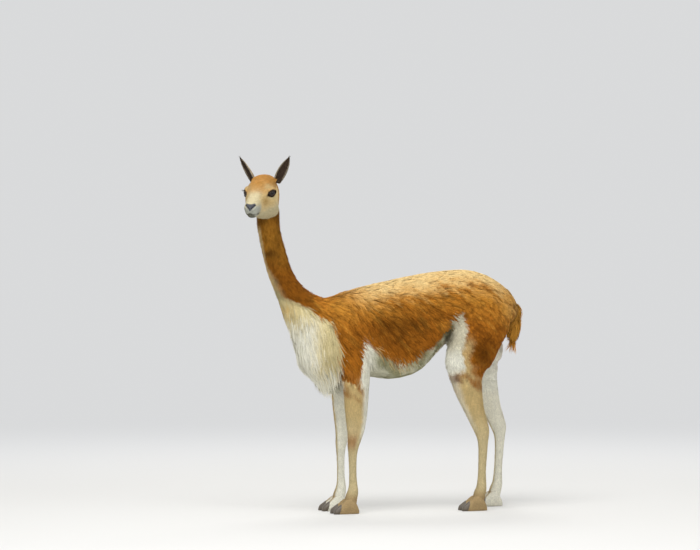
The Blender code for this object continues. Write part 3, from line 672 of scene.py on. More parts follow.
def inHead(p):
    return seenFrom(headMatrix, p)


def coatDepth(p):
    x, y, z = p.T
    onBelly = step(0.02, -0.02, z - border("flank", x)) * step(-0.24, -0.20, x) * step(0.22, 0.18, x)
    onTail = step(0.418, 0.440, x) * step(0.800, 0.775, z) * step(0.05, 0.03, np.abs(y))
    onChest = step(0.02, -0.03, x - border("bib", z)) * step(0.86, 0.76, z) * step(0.50, 0.56, z)
    depth = 0.0085 - 0.0030 * step(0.80, 0.90, z) * step(-0.36, -0.28, x)
    for wanted, share in (
        (0.0055, onBelly),
        (0.0045, step(0.66, 0.58, z) * step(0.10, 0.14, x)),      # thigh
        (0.0060, step(0.80, 0.92, z) * step(-0.36, -0.44, x)),    # neck
        (0.0040, step(0.62, 0.47, z)),                            # upper leg, shank and foot
        (0.0020, step(0.42, 0.28, z)),
        (0.0012, step(0.10, 0.06, z)),
        (0.0010, onTail),
        (0.0030, onChest),
    ):
        depth = depth + (wanted - depth) * share
    return depth


def lieOnBody(p, n):
    x, y, z = p.T
    low = step(0.90, 0.70, z)
    slope = np.interp(z, [0.70, 0.78, 0.85, 0.92, 1.05, 1.2], [0.9, 0.85, 0.58, 0.36, 0.15, 0.05])
    neckWay = np.stack([slope, 0 * slope, -np.ones(len(p))], 1)
    way = np.array([1.0, 0, -0.12])
    for wanted, share in (
        ([0.66, 0, -0.72], low),
        ([0.42, 0, -0.90], step(-0.10, -0.26, x) * (0.3 + 0.7 * low)),                            # shoulder
        ([0.50, 0, -0.86], step(0.22, 0.40, x) * (0.25 + 0.75 * low)),                            # rump
        ([0.14, 0, -1.0], step(0.64, 0.50, z)),                                                   # leg
        ([1.0, 0, -0.1], step(-0.55, -0.85, n[:, 2]) * step(0.30, 0.20, np.abs(x)) * (z > 0.48)),  # belly
        (neckWay, step(0.78, 0.88, z) * step(-0.30, -0.42, x)),
        ([0.16, 0, -1.0], step(0.02, -0.03, x - border("bib", z)) * step(0.86, 0.80, z)),         # chest
        ([0.05, 0, -1.0], (x > 0.40) & (z < 0.80) & (np.abs(y) < 0.05)),                          # tail
    ):
        way = blend(way, np.asarray(wanted), share)
    sway = noiseAt(p, 0.06, 3) - 0.5
    side = np.cross(way, n)
    return tangentOf(unit(way) + unit(side) * (0.7 * sway)[:, None], n)


def lieOnHead(p, n):
    local = inHead(p)
    up = step(-0.02, 0.03, local[:, 2])
    way = blend(np.array([-0.85, 0, -0.50]), np.array([-1.0, 0, 0.12]), up)
    way[:, 1] += 0.35 * np.sign(local[:, 1]) * step(0.0, 0.03, np.abs(local[:, 1]))
    muzzle = step(0.085, 0.115, local[:, 0])
    way = blend(way, np.array([-0.5, 0, -0.75]), muzzle * (1 - up))
    turn = np.array(headMatrix)[:3, :3]
    return tangentOf(way @ turn.T, n)


def lieOnEar(n, side):
    return tangentOf(np.array(earMatrix(side))[:3, 2], n)


def tangentOf(way, n):
    return unit(way - n * (way * n).sum(1)[:, None])


# markings, one rule for skin and tufts

furColours = {
    "cinnamon": "AC6A1F", "gold": "D6B980", "amber": "C68D37", "deep": "965817", "dark": "563006",
    "neck": "A87227", "neckDark": "623C10", "cream": "C0B286", "creamGrey": "AFA176", "belly": "969371",
    "white": "DFDDCE", "groin": "4A4430", "tan": "C4AC78", "paleTan": "C4B48A", "foot": "A89068",
    "tail": "BE8735", "face": "D2BC8A", "crown": "B2803E", "cheek": "B89A5E", "cheekDark": "9A7638",
    "bridge": "C4B895", "jaw": "BDB493", "muzzle": "A7A89D", "mouth": "5C5A4D", "nose": "55565B",
    "nostril": "1E1D1F", "lid": "2A1D14", "earIn": "40342A", "earEdge": "9C917C", "earBack": "98794A",
}
fur = {name: linearFromHex(text) for name, text in furColours.items()}


def streaks(p, long, short, seed, slant=0.80):
    # noise drawn out along the slope that the flank's wool lies on
    along = p[:, 0] * math.cos(slant) - p[:, 2] * math.sin(slant)
    across = p[:, 0] * math.sin(slant) + p[:, 2] * math.cos(slant)
    q = np.stack([along / long, across / short, p[:, 1] / (short * 2)], 1)
    return noiseAt(q, 1.0, seed)


def spotAt(x, z, at, size):
    return np.exp(-(((x - at[0]) / size[0]) ** 2 + ((z - at[1]) / size[1]) ** 2))


def paint(c, *layers):
    # lays named colours one over another, each as far as its share says
    for name, share in layers:
        c = blend(c, fur[name], share)
    return c


def flankColour(p, wave, flow):
    x, _, z = p.T
    under = border("back", x) - z
    lower = step(0.12, 0.24, under + wave) * step(-0.20, -0.06, x)
    curl = step(0.52, 0.78, streaks(p, 0.050, 0.009, 23, 0.40))
    fine = streaks(p, 0.055, 0.008, 19, 0.62)
    # painted sunlight (high) and painted sheen (sheen) along the top line of the back
    high = step(0.170, 0.020, under + 1.2 * wave + 0.05 * (fine - 0.5)) * step(0.66, 0.86, z)
    sheen = step(0.105, -0.010, under + 0.8 * wave + 0.04 * (fine - 0.5)) * step(0.72, 0.86, z)
    sheen = sheen * step(-0.32, -0.12, x) * (1 - 0.60 * step(0.33, 0.41, x))
    return paint(
        fur["cinnamon"],
        ("deep", step(0.42, 0.85, streaks(p, 0.16, 0.045, 8)) * 0.60),
        ("dark", step(0.60, 0.9, flow) * 0.42),
        ("amber", step(0.58, 0.85, streaks(p, 0.070, 0.012, 17)) * 0.50),
        ("amber", spotAt(x, z, (-0.290, 0.785), (0.085, 0.045)) * 0.50),
        # darkest low on the flank, partly the wool's own tone and partly painted shade from the light above,
        # and in the middle of the thigh
        ("deep", lower * (0.50 + 0.4 * (flow - 0.5))),
        ("dark", spotAt(x, z, (-0.07, 0.725), (0.12, 0.065)) * (0.60 + 0.5 * flow)),
        ("dark", spotAt(x, z, (0.14, 0.805), (0.120, 0.040)) * curl * 0.8),
        ("dark", spotAt(x, z, (0.270, 0.600), (0.045, 0.055)) * 0.85),
        # paler rump, carrying the painted sheen of the top line down over the rump and its rear
        ("amber", spotAt(x, z, (0.425, 0.790), (0.070, 0.075)) * (1 - 0.3 * flow)),
        ("gold", spotAt(x, z, (0.435, 0.800), (0.055, 0.055)) * 0.60),
        ("amber", spotAt(x, z, (0.245, 0.800), (0.080, 0.060)) * 0.45 * (1 - 0.6 * flow)),
        # darker elbow
        ("deep", spotAt(x, z, (-0.24, 0.62), (0.045, 0.10)) * 0.40),
        ("dark", spotAt(x, z, (-0.25, 0.655), (0.022, 0.030)) * 0.45),
        # painted sunlight along the top line and a painted sheen on its crest, fading down into streaks
        ("amber", high * step(-0.34, -0.18, x) * (0.80 + 0.5 * (0.5 - flow))),
        ("gold", sheen * (0.70 + 0.30 * step(-0.34, -0.12, x))),
        ("deep", step(0.60, 0.85, fine) * step(0.030, 0.060, under) * step(0.22, 0.12, under) * 0.55),
    )


def addNeckColour(c, p, n, wave):
    # darker, with painted shade where the hair parts in two places, painted shadow under the jaw, and a pale
    # line down its front
    x, _, z = p.T
    neckTone = paint(
        fur["neck"],
        ("neckDark", step(0.45, 0.9, noiseAt(p * [1, 1, 0.4], 0.022, 9)) * 0.50),
        ("amber", step(0.55, 0.9, noiseAt(p * [1, 1, 0.35], 0.015, 29)) * 0.30),
        ("deep", step(1.01, 0.90, z) * 0.85),
    )
    c = blend(c, neckTone, step(0.76, 0.86, z) * step(-0.34, -0.42, x))
    partingShade = spotAt(x, z + 0.3 * wave, (-0.556, 1.000), (0.018, 0.012))
    partingShade += spotAt(x, z + 0.3 * wave, (-0.533, 0.893), (0.022, 0.012))
    throat = step(-0.45 - 0.37 * step(0.89, 0.97, z), -1.00, n[:, 0] + 2 * wave) * step(-0.40, -0.45, x)
    return paint(
        c,
        # painted shade where the hair parts
        ("neckDark", np.minimum(partingShade, 1) * 0.85 * step(-0.2, 0.5, np.abs(n[:, 1]))),
        # painted shadow under the jaw
        ("neckDark", step(1.09, 1.150, z + wave) * step(-0.50, -0.53, x) * 0.55),
        ("face", throat * step(0.82, 0.86, z) * step(1.12, 1.08, z) * 0.80),
    )


def addLegColour(c, p, n, wave, flow, inner):
    # brown down the outside, white inside and behind the forearm
    x, y, z = p.T
    ending = np.where(x > 0, np.interp(x - setBack(z, y), [0.13, 0.29], [0.535, 0.475]), 0.490)
    legTone = paint(
        fur["deep"],
        ("tan", step(0.070, -0.060, z - ending + 2.5 * wave + 0.11 * (flow - 0.5))),
        ("paleTan", step(0.42, 0.26, z + wave)),
        ("foot", step(0.10, 0.05, z)),
    )
    behind = step(0.10, 0.50, n[:, 0] + wave * 2) * step(0.26, 0.33, z)
    knee = np.exp(-((z - 0.275) / 0.030) ** 2) * step(0.3, -0.2, n[:, 0]) * (y < 0) * (1 - inner)
    foreTone = paint(
        legTone,
        ("deep", step(0.55, 0.8, flow) * 0.4 * step(0.42, 0.47, z)),
        ("white", np.maximum(inner, behind) * 0.96),
        ("deep", knee * 0.6),
    )
    shin = step(-0.25, -0.70, n[:, 0] + wave * 2) * step(0.28, 0.38, z)
    hindTone = paint(legTone, ("white", np.maximum(inner * 0.9, shin * 0.55)))
    c = blend(c, foreTone, step(0.56, 0.50, z) * (x < 0))
    return blend(c, hindTone, step(0.090, 0.015, z - ending + 2 * wave) * (x > 0.06) * (z < 0.60))


def addUnderColour(c, p, wave, flow, inner):
    # white front and inside of the thigh, tan where it meets the brown, and the belly, pale wool painted
    # greyer as shade under the body
    x, y, z = p.T
    off = x - border("thigh", z) - setBack(z, y) + 0.9 * wave
    fold = border("fold", z) + setBack(z, y)
    onThigh = step(0.520, 0.545, z + wave) * step(0.772, 0.755, z) * step(-0.006, 0.004, x - fold)
    c = paint(c, ("tan", step(0.045, 0.012, off) * onThigh * step(0.70, 0.62, z) * 0.8))
    thighWhite = paint(fur["white"], ("creamGrey", step(0.58, 0.66, z + wave) * 0.50))
    c = blend(c, thighWhite, step(0.008, -0.008, off) * onThigh)
    underTail = (x > 0.385) & (z > 0.58) & (np.abs(y) < 0.040)
    c = paint(
        c,
        ("white", inner * step(0.10, 0.15, x) * step(0.74, 0.68, z) * (z > 0.45) * ~underTail * 0.9),
        ("dark", spotAt(x, z, (0.168, 0.512), (0.016, 0.018)) * 0.60 * (y < 0)),
    )
    # the belly's pale wool painted grey-olive as the shade under the body, whiter in streaks and towards the
    # elbow
    bellyTone = paint(
        fur["belly"],
        ("white", step(0.40, 0.75, flow) * 0.4),
        ("white", step(-0.13, -0.18, x) * 0.8),
    )
    onBelly = step(0.010, -0.010, z - border("flank", x) + 0.9 * wave) * step(-0.226, -0.214, x + 0.6 * wave)
    onBelly = onBelly * step(0.004, -0.008, x - np.maximum(fold, 0.10))
    c = blend(c, bellyTone, onBelly * step(0.47, 0.50, z))
    # shade in the fold between flank and thigh
    return paint(c, ("groin", np.minimum(spotAt(x, z, (0.143, 0.680), (0.018, 0.035)) * 1.4, 1) * 0.85))


def addChestColour(c, p, wave):
    x, _, z = p.T
    # whiter at the front and low down: partly the wool's own colour and partly painted light against the shade
    # of the down-facing lower chest
    front = np.maximum(step(-0.35, -0.42, x), step(0.64, 0.56, z)) * step(0.78, 0.72, z)
    bibTone = paint(
        fur["cream"],
        ("creamGrey", step(0.50, 0.9, streaks(p, 0.07, 0.010, 12, 1.45)) * 0.75),
        ("creamGrey", step(-0.36, -0.31, x) * 0.35),
        ("white", front * 0.92),
        ("cheek", spotAt(x, z, (-0.492, 0.791), (0.028, 0.014)) * 0.8),
    )
    onBib = step(0.008, -0.008, x - border("bib", z) + 0.9 * wave) * step(0.90, 0.88, z + wave)
    return blend(c, bibTone, onBib * step(0.42, 0.46, z))


def addTailColour(c, p):
    x, y, z = p.T
    # painted shade in the fold between tail and rump
    creaseShade = step(0.404, 0.416, x) * step(0.438, 0.426, x) * step(0.81, 0.79, z) * (z > 0.60)
    c = paint(c, ("dark", creaseShade * step(0.075, 0.055, np.abs(y)) * 0.55))
    tailTone = paint(fur["tail"], ("amber", step(0.40, 0.9, noiseAt(p * [1, 1, 0.25], 0.012, 13)) * 0.6))
    onTail = step(0.425, 0.440, x) * step(0.805, 0.775, z) * (np.abs(y) < 0.055)
    return blend(c, tailTone, onTail * step(0.438, 0.446, x))


def colourOfBody(p, n):
    wave = 0.020 * (noiseAt(p, 0.03, 5) - 0.5) + 0.012 * (noiseAt(p, 0.011, 6) - 0.5)
    flow = streaks(p, 0.085, 0.016, 7)
    inner = step(0.15, 0.55, -np.sign(p[:, 1]) * n[:, 1] + 1.5 * wave)
    c = addNeckColour(flankColour(p, wave, flow), p, n, wave)
    c = addLegColour(c, p, n, wave, flow, inner)
    c = addUnderColour(c, p, wave, flow, inner)
    return addTailColour(addChestColour(c, p, wave), p)


def onPad(local):
    # 1 on the bare nose pad
    ay = np.abs(local[:, 1])
    half = np.interp(local[:, 2] - 0.10 * ay, *zip(*headForm["pad"]))
    inside = step(0.0012, -0.0012, ay - half) * step(0.113, 0.117, local[:, 0])
    return inside * step(-0.0180, -0.0165, local[:, 2]) * step(0.0085, 0.0065, local[:, 2] - 0.10 * ay)


def gapTo(name, local):
    # distance to the line between the lips or to a nostril's slit, on whichever side is nearer
    return np.minimum(*(pathDistance(local, path) for path in bothSides(headForm[name])))


def colourOfHead(p):
    local = inHead(p)
    x, y, z = local.T
    ay = np.abs(y)
    wave = 0.010 * (noiseAt(p, 0.018, 21) - 0.5) + 0.006 * (noiseAt(p, 0.007, 22) - 0.5)
    crown = step(0.034, 0.064, z - 0.15 * x + 2 * wave) * step(0.060, 0.020, x + wave)
    muzzle = step(0.082, 0.104, x + wave + 0.25 * np.minimum(z, 0))
    c = paint(
        fur["face"],
        ("bridge", step(0.022, 0.060, x + wave) * step(0.036, 0.018, ay) * 0.90),
        # tan from the eye's inner corner down the side of the nose
        ("cheekDark", spotAt(x, z, (0.064, 0.002), (0.024, 0.022)) * step(0.014, 0.024, ay) * 0.70),
        ("cheek", spotAt(x, z, (0.035, -0.018), (0.030, 0.016)) * step(0.02, 0.03, ay) * 0.35),
        ("jaw", step(-0.012, -0.045, z + wave) * 0.85),
        ("crown", step(0.008, 0.040, z + wave) * step(0.080, 0.040, x + wave) * 0.78),
        # cream over and under the eye
        ("cream", spotAt(x, z, (0.018, 0.046), (0.022, 0.011)) * step(0.020, 0.034, ay) * 0.55),
        ("cream", spotAt(x, z, (0.020, 0.002), (0.018, 0.006)) * step(0.020, 0.034, ay) * 0.8),
        ("crown", crown * 0.9),
        ("cinnamon", crown * step(0.052, 0.074, z + 2 * wave) * 0.12),
        ("neck", step(-0.050, -0.070, x + wave + 0.35 * np.minimum(z, 0)) * 0.95),
        # grey muzzle, dark lips, chin and nose pad, and the nostrils painted near black as the shade inside
        # their slits
        ("bridge", muzzle * 0.75),
        ("muzzle", muzzle * step(0.010, -0.012, z + wave) * 0.95),
        ("mouth", step(0.0062, 0.0022, gapTo("mouth", local) + 0.3 * wave) * step(0.090, 0.110, x)),
        ("mouth", step(0.112, 0.124, x) * step(-0.029, -0.033, z) * step(0.017, 0.010, ay) * 0.85),
        ("nose", onPad(local)),
        ("nostril", step(0.0034, 0.0014, gapTo("nostril", local))),
    )
    for side in (1, -1):
        seen, almond = eyeSpace(local, side)
        c = paint(c, ("lid", step(1.45, 1.18, almond + 8 * wave) * (seen[:, 0] > 0)))
        # painted shade in the hollow at the eye's corner towards the nose, and a lesser dark mark behind
        for along, drop, size, much in ((-0.024, -0.003, 0.007, 0.85), (0.022, 0.001, 0.005, 0.5)):
            cornerDark = spotAt(seen[:, 1] * side, seen[:, 2], (along, drop), (size, 0.0055))
            c = paint(c, ("lid", cornerDark * much * (seen[:, 0] > -0.02)))
    return c


def colourOfEar(p, n, side):
    local = seenFrom(earMatrix(side), p)
    share = local[:, 2] / earForm["length"]
    shares, halfWidths, _ = zip(*earForm["rows"])
    edge = np.abs(local[:, 1]) / np.maximum(np.interp(share, shares, halfWidths), 1e-4)
    inside = step(-0.1, 0.3, n @ np.array(earMatrix(side))[:3, 0])
    return paint(
        fur["earBack"],
        # the hollow of the ear painted dark as the shade in its cup
        ("earIn", inside),
        ("earEdge", step(0.70, 0.94, edge) * 0.75),
        ("earIn", step(0.82, 0.96, share) * 0.7),
        ("crown", step(0.12, 0.0, share) * (1 - inside) * 0.8),
    )


# skin

def headDepth(points):
    local = inHead(points)
    return 0.0012 + 0.0030 * step(0.03, -0.04, local[:, 0]) * step(0.0, 0.03, np.abs(local[:, 1:]).sum(1))


def sink(thing, depthOf):
    # moves the surface in by the depth of the coat on it
    points = getPoints(thing.data)
    setPoints(thing.data, points - getPoints(thing.data, "normal") * depthOf(points)[:, None])
    print(thing.name, len(points))


body = makeBody()
sink(body, coatDepth)
head = makeHead()
sink(head, headDepth)
ears = [makeEar(side) for side in (1, -1)]
toes = [makeToe(footX, footY, outward) for _, footX, footY in feet for outward in (1, -1)]


def unite(thing, others):
    for other in others:
        cut = thing.modifiers.new("unite", "BOOLEAN")
        cut.operation = "UNION"
        cut.solver = "MANIFOLD"
        cut.object = other
        applyModifier(thing, "unite")
        bpy.data.objects.remove(other, do_unlink=True)
    return thing


def numberForm(thing, number):
    # each point keeps the number of the form it came from: 0 body, 1 head, 2 left ear, 3 right ear, 4 toes
    layer = thing.data.attributes.new("form", "INT", "POINT")
    layer.data.foreach_set("value", np.full(len(thing.data.vertices), number, dtype=np.int32))


def readForm(mesh):
    found = np.zeros(len(mesh.vertices), dtype=np.int32)
    if "form" in mesh.attributes:
        mesh.attributes["form"].data.foreach_get("value", found)
    return found


for number, thing in enumerate([body, head, *ears]):
    numberForm(thing, number)
for toe in toes:
    numberForm(toe, 4)
skin = unite(body, [head, *ears, *toes])
skin.name = "skin"
mesh = skin.data
print("skin faces", len(mesh.polygons), "forms", np.bincount(readForm(mesh)))


def relaxNear(thing, weightOf, rounds):
    points = getPoints(thing.data)
    group = thing.vertex_groups.new(name="relax")
    weight = weightOf(points)
    for i in np.nonzero(weight > 0.01)[0]:
        group.add([int(i)], float(weight[i]), "REPLACE")
    relax(thing, rounds, "relax")
    thing.vertex_groups.clear()


def throatWeight(points):
    local = inHead(points)
    d = np.linalg.norm((local - [-0.055, 0, -0.085]) / [0.085, 0.075, 0.045], axis=1)
    return step(1.15, 0.75, d)


relaxNear(skin, throatWeight, 14)
mesh.transform(Matrix.Translation(home))
mesh.shade_smooth()
makeActive(skin)
bpy.ops.object.mode_set(mode="EDIT")
bpy.ops.mesh.select_all(action="SELECT")
bpy.ops.mesh.quads_convert_to_tris()
bpy.ops.uv.smart_project(angle_limit=math.radians(70), island_margin=0.002)
bpy.ops.object.mode_set(mode="OBJECT")
mesh.uv_layers[0].name = "OFBake"
print("skin unwrapped", len(mesh.polygons))

points = getPoints(mesh) - homeArray
normals = getPoints(mesh, "normal")
form = readForm(mesh)


def colourAt(p, n, form):
    c = np.empty((len(p), 3))
    for number in range(5):
        pick = form == number
        if not pick.any():
            continue
        if number in (0, 4):
            c[pick] = colourOfBody(p[pick], n[pick])
        elif number == 1:
            c[pick] = colourOfHead(p[pick])
        else:
            c[pick] = colourOfEar(p[pick], n[pick], 1 if number == 2 else -1)
    return c


def setColours(mesh, colours):
    layer = mesh.color_attributes.new("coatColour", "FLOAT_COLOR", "POINT")
    solid = np.column_stack([colours, np.ones(len(colours))]).astype(np.float32)
    layer.data.foreach_set("color", solid.ravel())


shadeBetweenTufts = 0.90   # the skin between the tufts is painted a little darker than they are, as the shade they cast on it
setColours(mesh, colourAt(points, normals, form) * shadeBetweenTufts)

# materials of skin and coat


def furMaterial(name, hairMm, bump, roughness, sheen):
    # keratin hairs that grew side by side: matt across them, and softly bright where they are seen at a
    # slant; a hair is really 0.012 mm thick, and is drawn about 1 mm wide so that it shows
    made, tree = newMaterial(name)
    own = addNode(tree, "ShaderNodeAttribute", {"attribute_name": "coatColour"})
    place = addNode(tree, "ShaderNodeTexCoord")
    lay = addNode(tree, "ShaderNodeMapping", {"Rotation": (0, math.radians(38), 0), "Scale": (0.16, 1, 1)},
                  {"Vector": place.outputs["Object"]})
    hairs = addNode(tree, "ShaderNodeTexNoise", {"Scale": 1000 / hairMm / 2, "Detail": 3.0, "Roughness": 0.6},
                    {"Vector": lay.outputs["Vector"]})
    tone = addNode(tree, "ShaderNodeMapRange", {
        "From Min": 0.3, "From Max": 0.7, "To Min": 0.80, "To Max": 1.16,
    }, {"Value": hairs.outputs["Fac"]})
    mixed = addNode(tree, "ShaderNodeVectorMath", {"operation": "SCALE"},
                    {"Vector": own.outputs["Color"], "Scale": tone.outputs["Result"]})
    raised = addNode(tree, "ShaderNodeBump", {"Strength": bump, "Distance": 0.0006},
                     {"Height": hairs.outputs["Fac"]})
    shader = addNode(tree, "ShaderNodeBsdfPrincipled", {
        "Roughness": roughness, "Specular IOR Level": 0.03, "Sheen Weight": sheen, "Sheen Roughness": 0.4,
        "Sheen Tint": (1.0, 0.82, 0.55, 1.0),
    }, {"Base Color": mixed.outputs["Vector"], "Normal": raised.outputs["Normal"]})
    finishMaterial(tree, shader)
    return made


# short fur on skin: rough and dull, it fills the gaps between tufts with their own colour, painted a little
# darker as their shade
skinFur = furMaterial("short fur over skin", 1.1, 0.55, 0.80, 0.03)
# wool in fine tapered locks: soft, hardly any shine, a faint warm glow along the edges
woolFur = furMaterial("vicuna wool", 0.9, 0.30, 0.72, 0.03)
mesh.materials.clear()
mesh.materials.append(skinFur)
toeNodes = [f"toe_{name}_{edge}" for name, _, _ in feet for edge in ("outer", "inner")]
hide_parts("torso", "chest", "neck", "head", "tail", "foreleg_left", "foreleg_right", "hindleg_left",
            "hindleg_right", "ear_left", "ear_right", *toeNodes)
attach(skin, "root")
print("skin coloured")

# coat


def readAll(found, kind, width, number):
    values = np.empty(len(found) * width, dtype=number)
    found.foreach_get(kind, values)
    return values.reshape(-1, width)


mesh.calc_loop_triangles()
triPoints = readAll(mesh.loop_triangles, "vertices", 3, np.int32)
triLoops = readAll(mesh.loop_triangles, "loops", 3, np.int32)
skinMap = readAll(mesh.uv_layers["OFBake"].data, "uv", 2, float)
corner = points[triPoints]
triArea = np.linalg.norm(np.cross(corner[:, 1] - corner[:, 0], corner[:, 2] - corner[:, 0]), axis=1) / 2
triMiddle = corner.mean(1)
triForm = np.median(form[triPoints], axis=1).astype(int)
surface = BVHTree.FromPolygons(points.tolist(), triPoints.tolist())


def coatAt(p, form):
    # which coat grows there
    x, y, z = p.T
    label = np.full(len(p), "flank", dtype=object)
    label[(z > 0.80) & (x < -0.40)] = "neck"
    label[(x - border("bib", z) < -0.006) & (z < 0.868) & (z > 0.53)] = "bib"
    label[(z < border("flank", x) + 0.012) & (x > -0.222) & (x < 0.20) & (z > 0.49)] = "belly"
    label[z + 0.05 * (noiseAt(p, 0.012, 31) - 0.5) < 0.50] = "leg"
    label[(z < 0.30)] = "shank"
    label[(z < 0.075)] = "foot"
    label[(x > 0.432) & (z < 0.80) & (z > 0.60) & (np.abs(y) < 0.05)] = "tail"
    label[(x > 0.400) & (z < 0.712) & (z > 0.60) & (np.abs(y) < 0.035)] = "tail"
    label[form == 1] = "head"
    label[(form == 2) | (form == 3)] = "ear"
    label[form == 4] = "foot"
    nail = toeForm["bare"]
    for _, footX, footY in feet:
        for outward in (1, -1):
            q = seenFrom(toeMatrix(footX, footY, outward), p)
            near = (np.abs(q[:, 1]) < nail["beside"]) & (q[:, 2] < nail["top"])
            near &= (q[:, 0] < nail["back"]) & (q[:, 0] > nail["front"])
            label[near & (nailSide(q[:, 0], q[:, 2]) > -nail["margin"])] = "bare"
    local = inHead(p)
    eyeGap = np.full(len(p), 9.0)
    for side in (1, -1):
        seen, almond = eyeSpace(local, side)
        eyeGap = np.minimum(eyeGap, np.where(seen[:, 0] > 0, almond, 9))
    bare = (eyeGap < 1.30) | (onPad(local) > 0.3) | (gapTo("mouth", local) < 0.0020)
    label[(form == 1) & bare] = "bare"
    label[(p[:, 2] < 0.006)] = "bare"
    return label


triLabel = coatAt(triMiddle, triForm)

# each coat: how many tufts, length, half width, height over the skin as a share of the coat's depth,
# clumps and how far tips draw together, how much they hang, how closely they follow the skin, rings between
# root and tip, how pale the painted root shade stays, how dark the painted shade at a clump's edge is, how
# uneven clumps stand and how far the markings mingle; a tuft is 1 to 6 mm wide, coarser than real wool, so
# that it shows
usual = {
    "rise": 0.9, "hang": 0.0, "hug": 0.9, "rings": 1, "soft": 0.0, "edge": 0.12, "lumps": 0.0, "mingle": 0.15,
}
coats = {
    "flank": {"count": 46000, "length": 0.044, "halfWidth": 0.0016, "rise": 0.95, "clumps": 3600, "pull": 0.45,
              "rings": 2, "soft": 0.10, "edge": 0.38, "lumps": 0.8, "mingle": 0.14},
    "neck": {"count": 30000, "length": 0.021, "halfWidth": 0.0011, "rise": 0.95, "clumps": 1800, "pull": 0.4,
             "soft": 0.25, "edge": 0.42, "lumps": 0.8},
    "bib": {"count": 9800, "length": 0.105, "halfWidth": 0.0024, "rise": 1.0, "clumps": 620, "pull": 0.35,
            "hang": 0.25, "hug": 0.30, "rings": 4, "soft": 0.85},
    "belly": {"count": 9000, "length": 0.030, "halfWidth": 0.0015, "clumps": 700, "pull": 0.4,
              "hang": 0.12, "hug": 0.80, "rings": 2, "soft": 0.5, "edge": 0.30, "lumps": 0.6},
    "leg": {"count": 30000, "length": 0.018, "halfWidth": 0.0010, "clumps": 1800, "pull": 0.35, "soft": 0.6},
    "shank": {"count": 24000, "length": 0.012, "halfWidth": 0.0007, "clumps": 1600, "pull": 0.30, "soft": 0.6},
    "foot": {"count": 13000, "length": 0.008, "halfWidth": 0.0006, "clumps": 900, "pull": 0.25, "soft": 0.6},
    "tail": {"count": 3000, "length": 0.056, "halfWidth": 0.0021, "rise": 1.0, "clumps": 110, "pull": 0.60,
             "hang": 0.05, "hug": 0.55, "rings": 4, "edge": 0.45, "lumps": 0.9},
    "head": {"count": 52000, "length": 0.0090, "halfWidth": 0.00055, "clumps": 3600, "pull": 0.25,
             "soft": 0.6},
    "ear": {"count": 9000, "length": 0.0080, "halfWidth": 0.0005, "clumps": 700, "pull": 0.3},
}
# a tuft's rings from root to tip: share of the length, of the width, of the height, and tone, darker at the
# root as painted shade deep in the coat
ringForms = {
    1: [(0.0, 1.0, -0.15, 0.74), (1.0, 0.0, 1.0, 1.10)],
    2: [(0.0, 0.85, -0.20, 0.66), (0.55, 1.0, 0.92, 0.98), (1.0, 0.0, 0.84, 1.12)],
    4: [(0.0, 0.75, -0.15, 0.72), (0.26, 1.0, 0.50, 0.90), (0.52, 0.90, 0.80, 1.0), (0.78, 0.60, 0.95, 1.06),
        (1.0, 0.0, 1.0, 1.10)],
}
tuftThickness = 0.32   # ridge height over the half width
tuftMap = {"halfWidth": 0.0012, "length": 0.003}   # a tuft's place on the skin's map
rng = np.random.default_rng(11)


def followSkin(centres, normal, depth, hug):
    # pulls each ring towards the skin under it, at that height
    placed, turned = centres.copy(), normal.copy()
    for i in range(len(centres)):
        near, face, _, gap = surface.find_nearest(centres[i], 0.12)
        # far from the skin, or over a fold whose other side is nearer: the ring stays where it is
        if near is None or (gap > 0.010 and normal[i] @ face < 0.15):
            continue
        skinAt, out = np.array(near), np.array(face)
        above = (centres[i] - skinAt) @ out
        if above < depth[i]:
            placed[i] += (depth[i] - above) * out
        else:
            placed[i] += hug * (skinAt + depth[i] * out - placed[i])
        turned[i] = out
    return placed, unit(normal * (1 - hug) + turned * hug)


def scatterRoots(label, count):
    # evenly over the skin of one coat, but closer on the muzzle
    pick = np.nonzero(triLabel == label)[0]
    weight = triArea[pick]
    if label == "head":
        weight = weight * (1 + 1.5 * step(0.04, 0.11, inHead(triMiddle[pick])[:, 0]))
    chosen = pick[rng.choice(len(pick), count, p=weight / weight.sum())]
    a, b = rng.random(count), rng.random(count)
    flip = a + b > 1
    a[flip], b[flip] = 1 - a[flip], 1 - b[flip]
    mix = np.stack([1 - a - b, a, b], 1)[:, :, None]
    root = (points[triPoints[chosen]] * mix).sum(1)
    normal = unit((normals[triPoints[chosen]] * mix).sum(1))
    rootMap = (skinMap[triLoops[chosen]] * mix).sum(1)
    return root, normal, rootMap, triForm[chosen]


def lieOf(label, root, normal, which):
    if label == "head":
        return lieOnHead(root, normal)
    lie = lieOnBody(root, normal)
    if label == "ear":
        for number, side in ((2, 1), (3, -1)):
            mine = which == number
            lie[mine] = lieOnEar(normal[mine], side)
    return lie


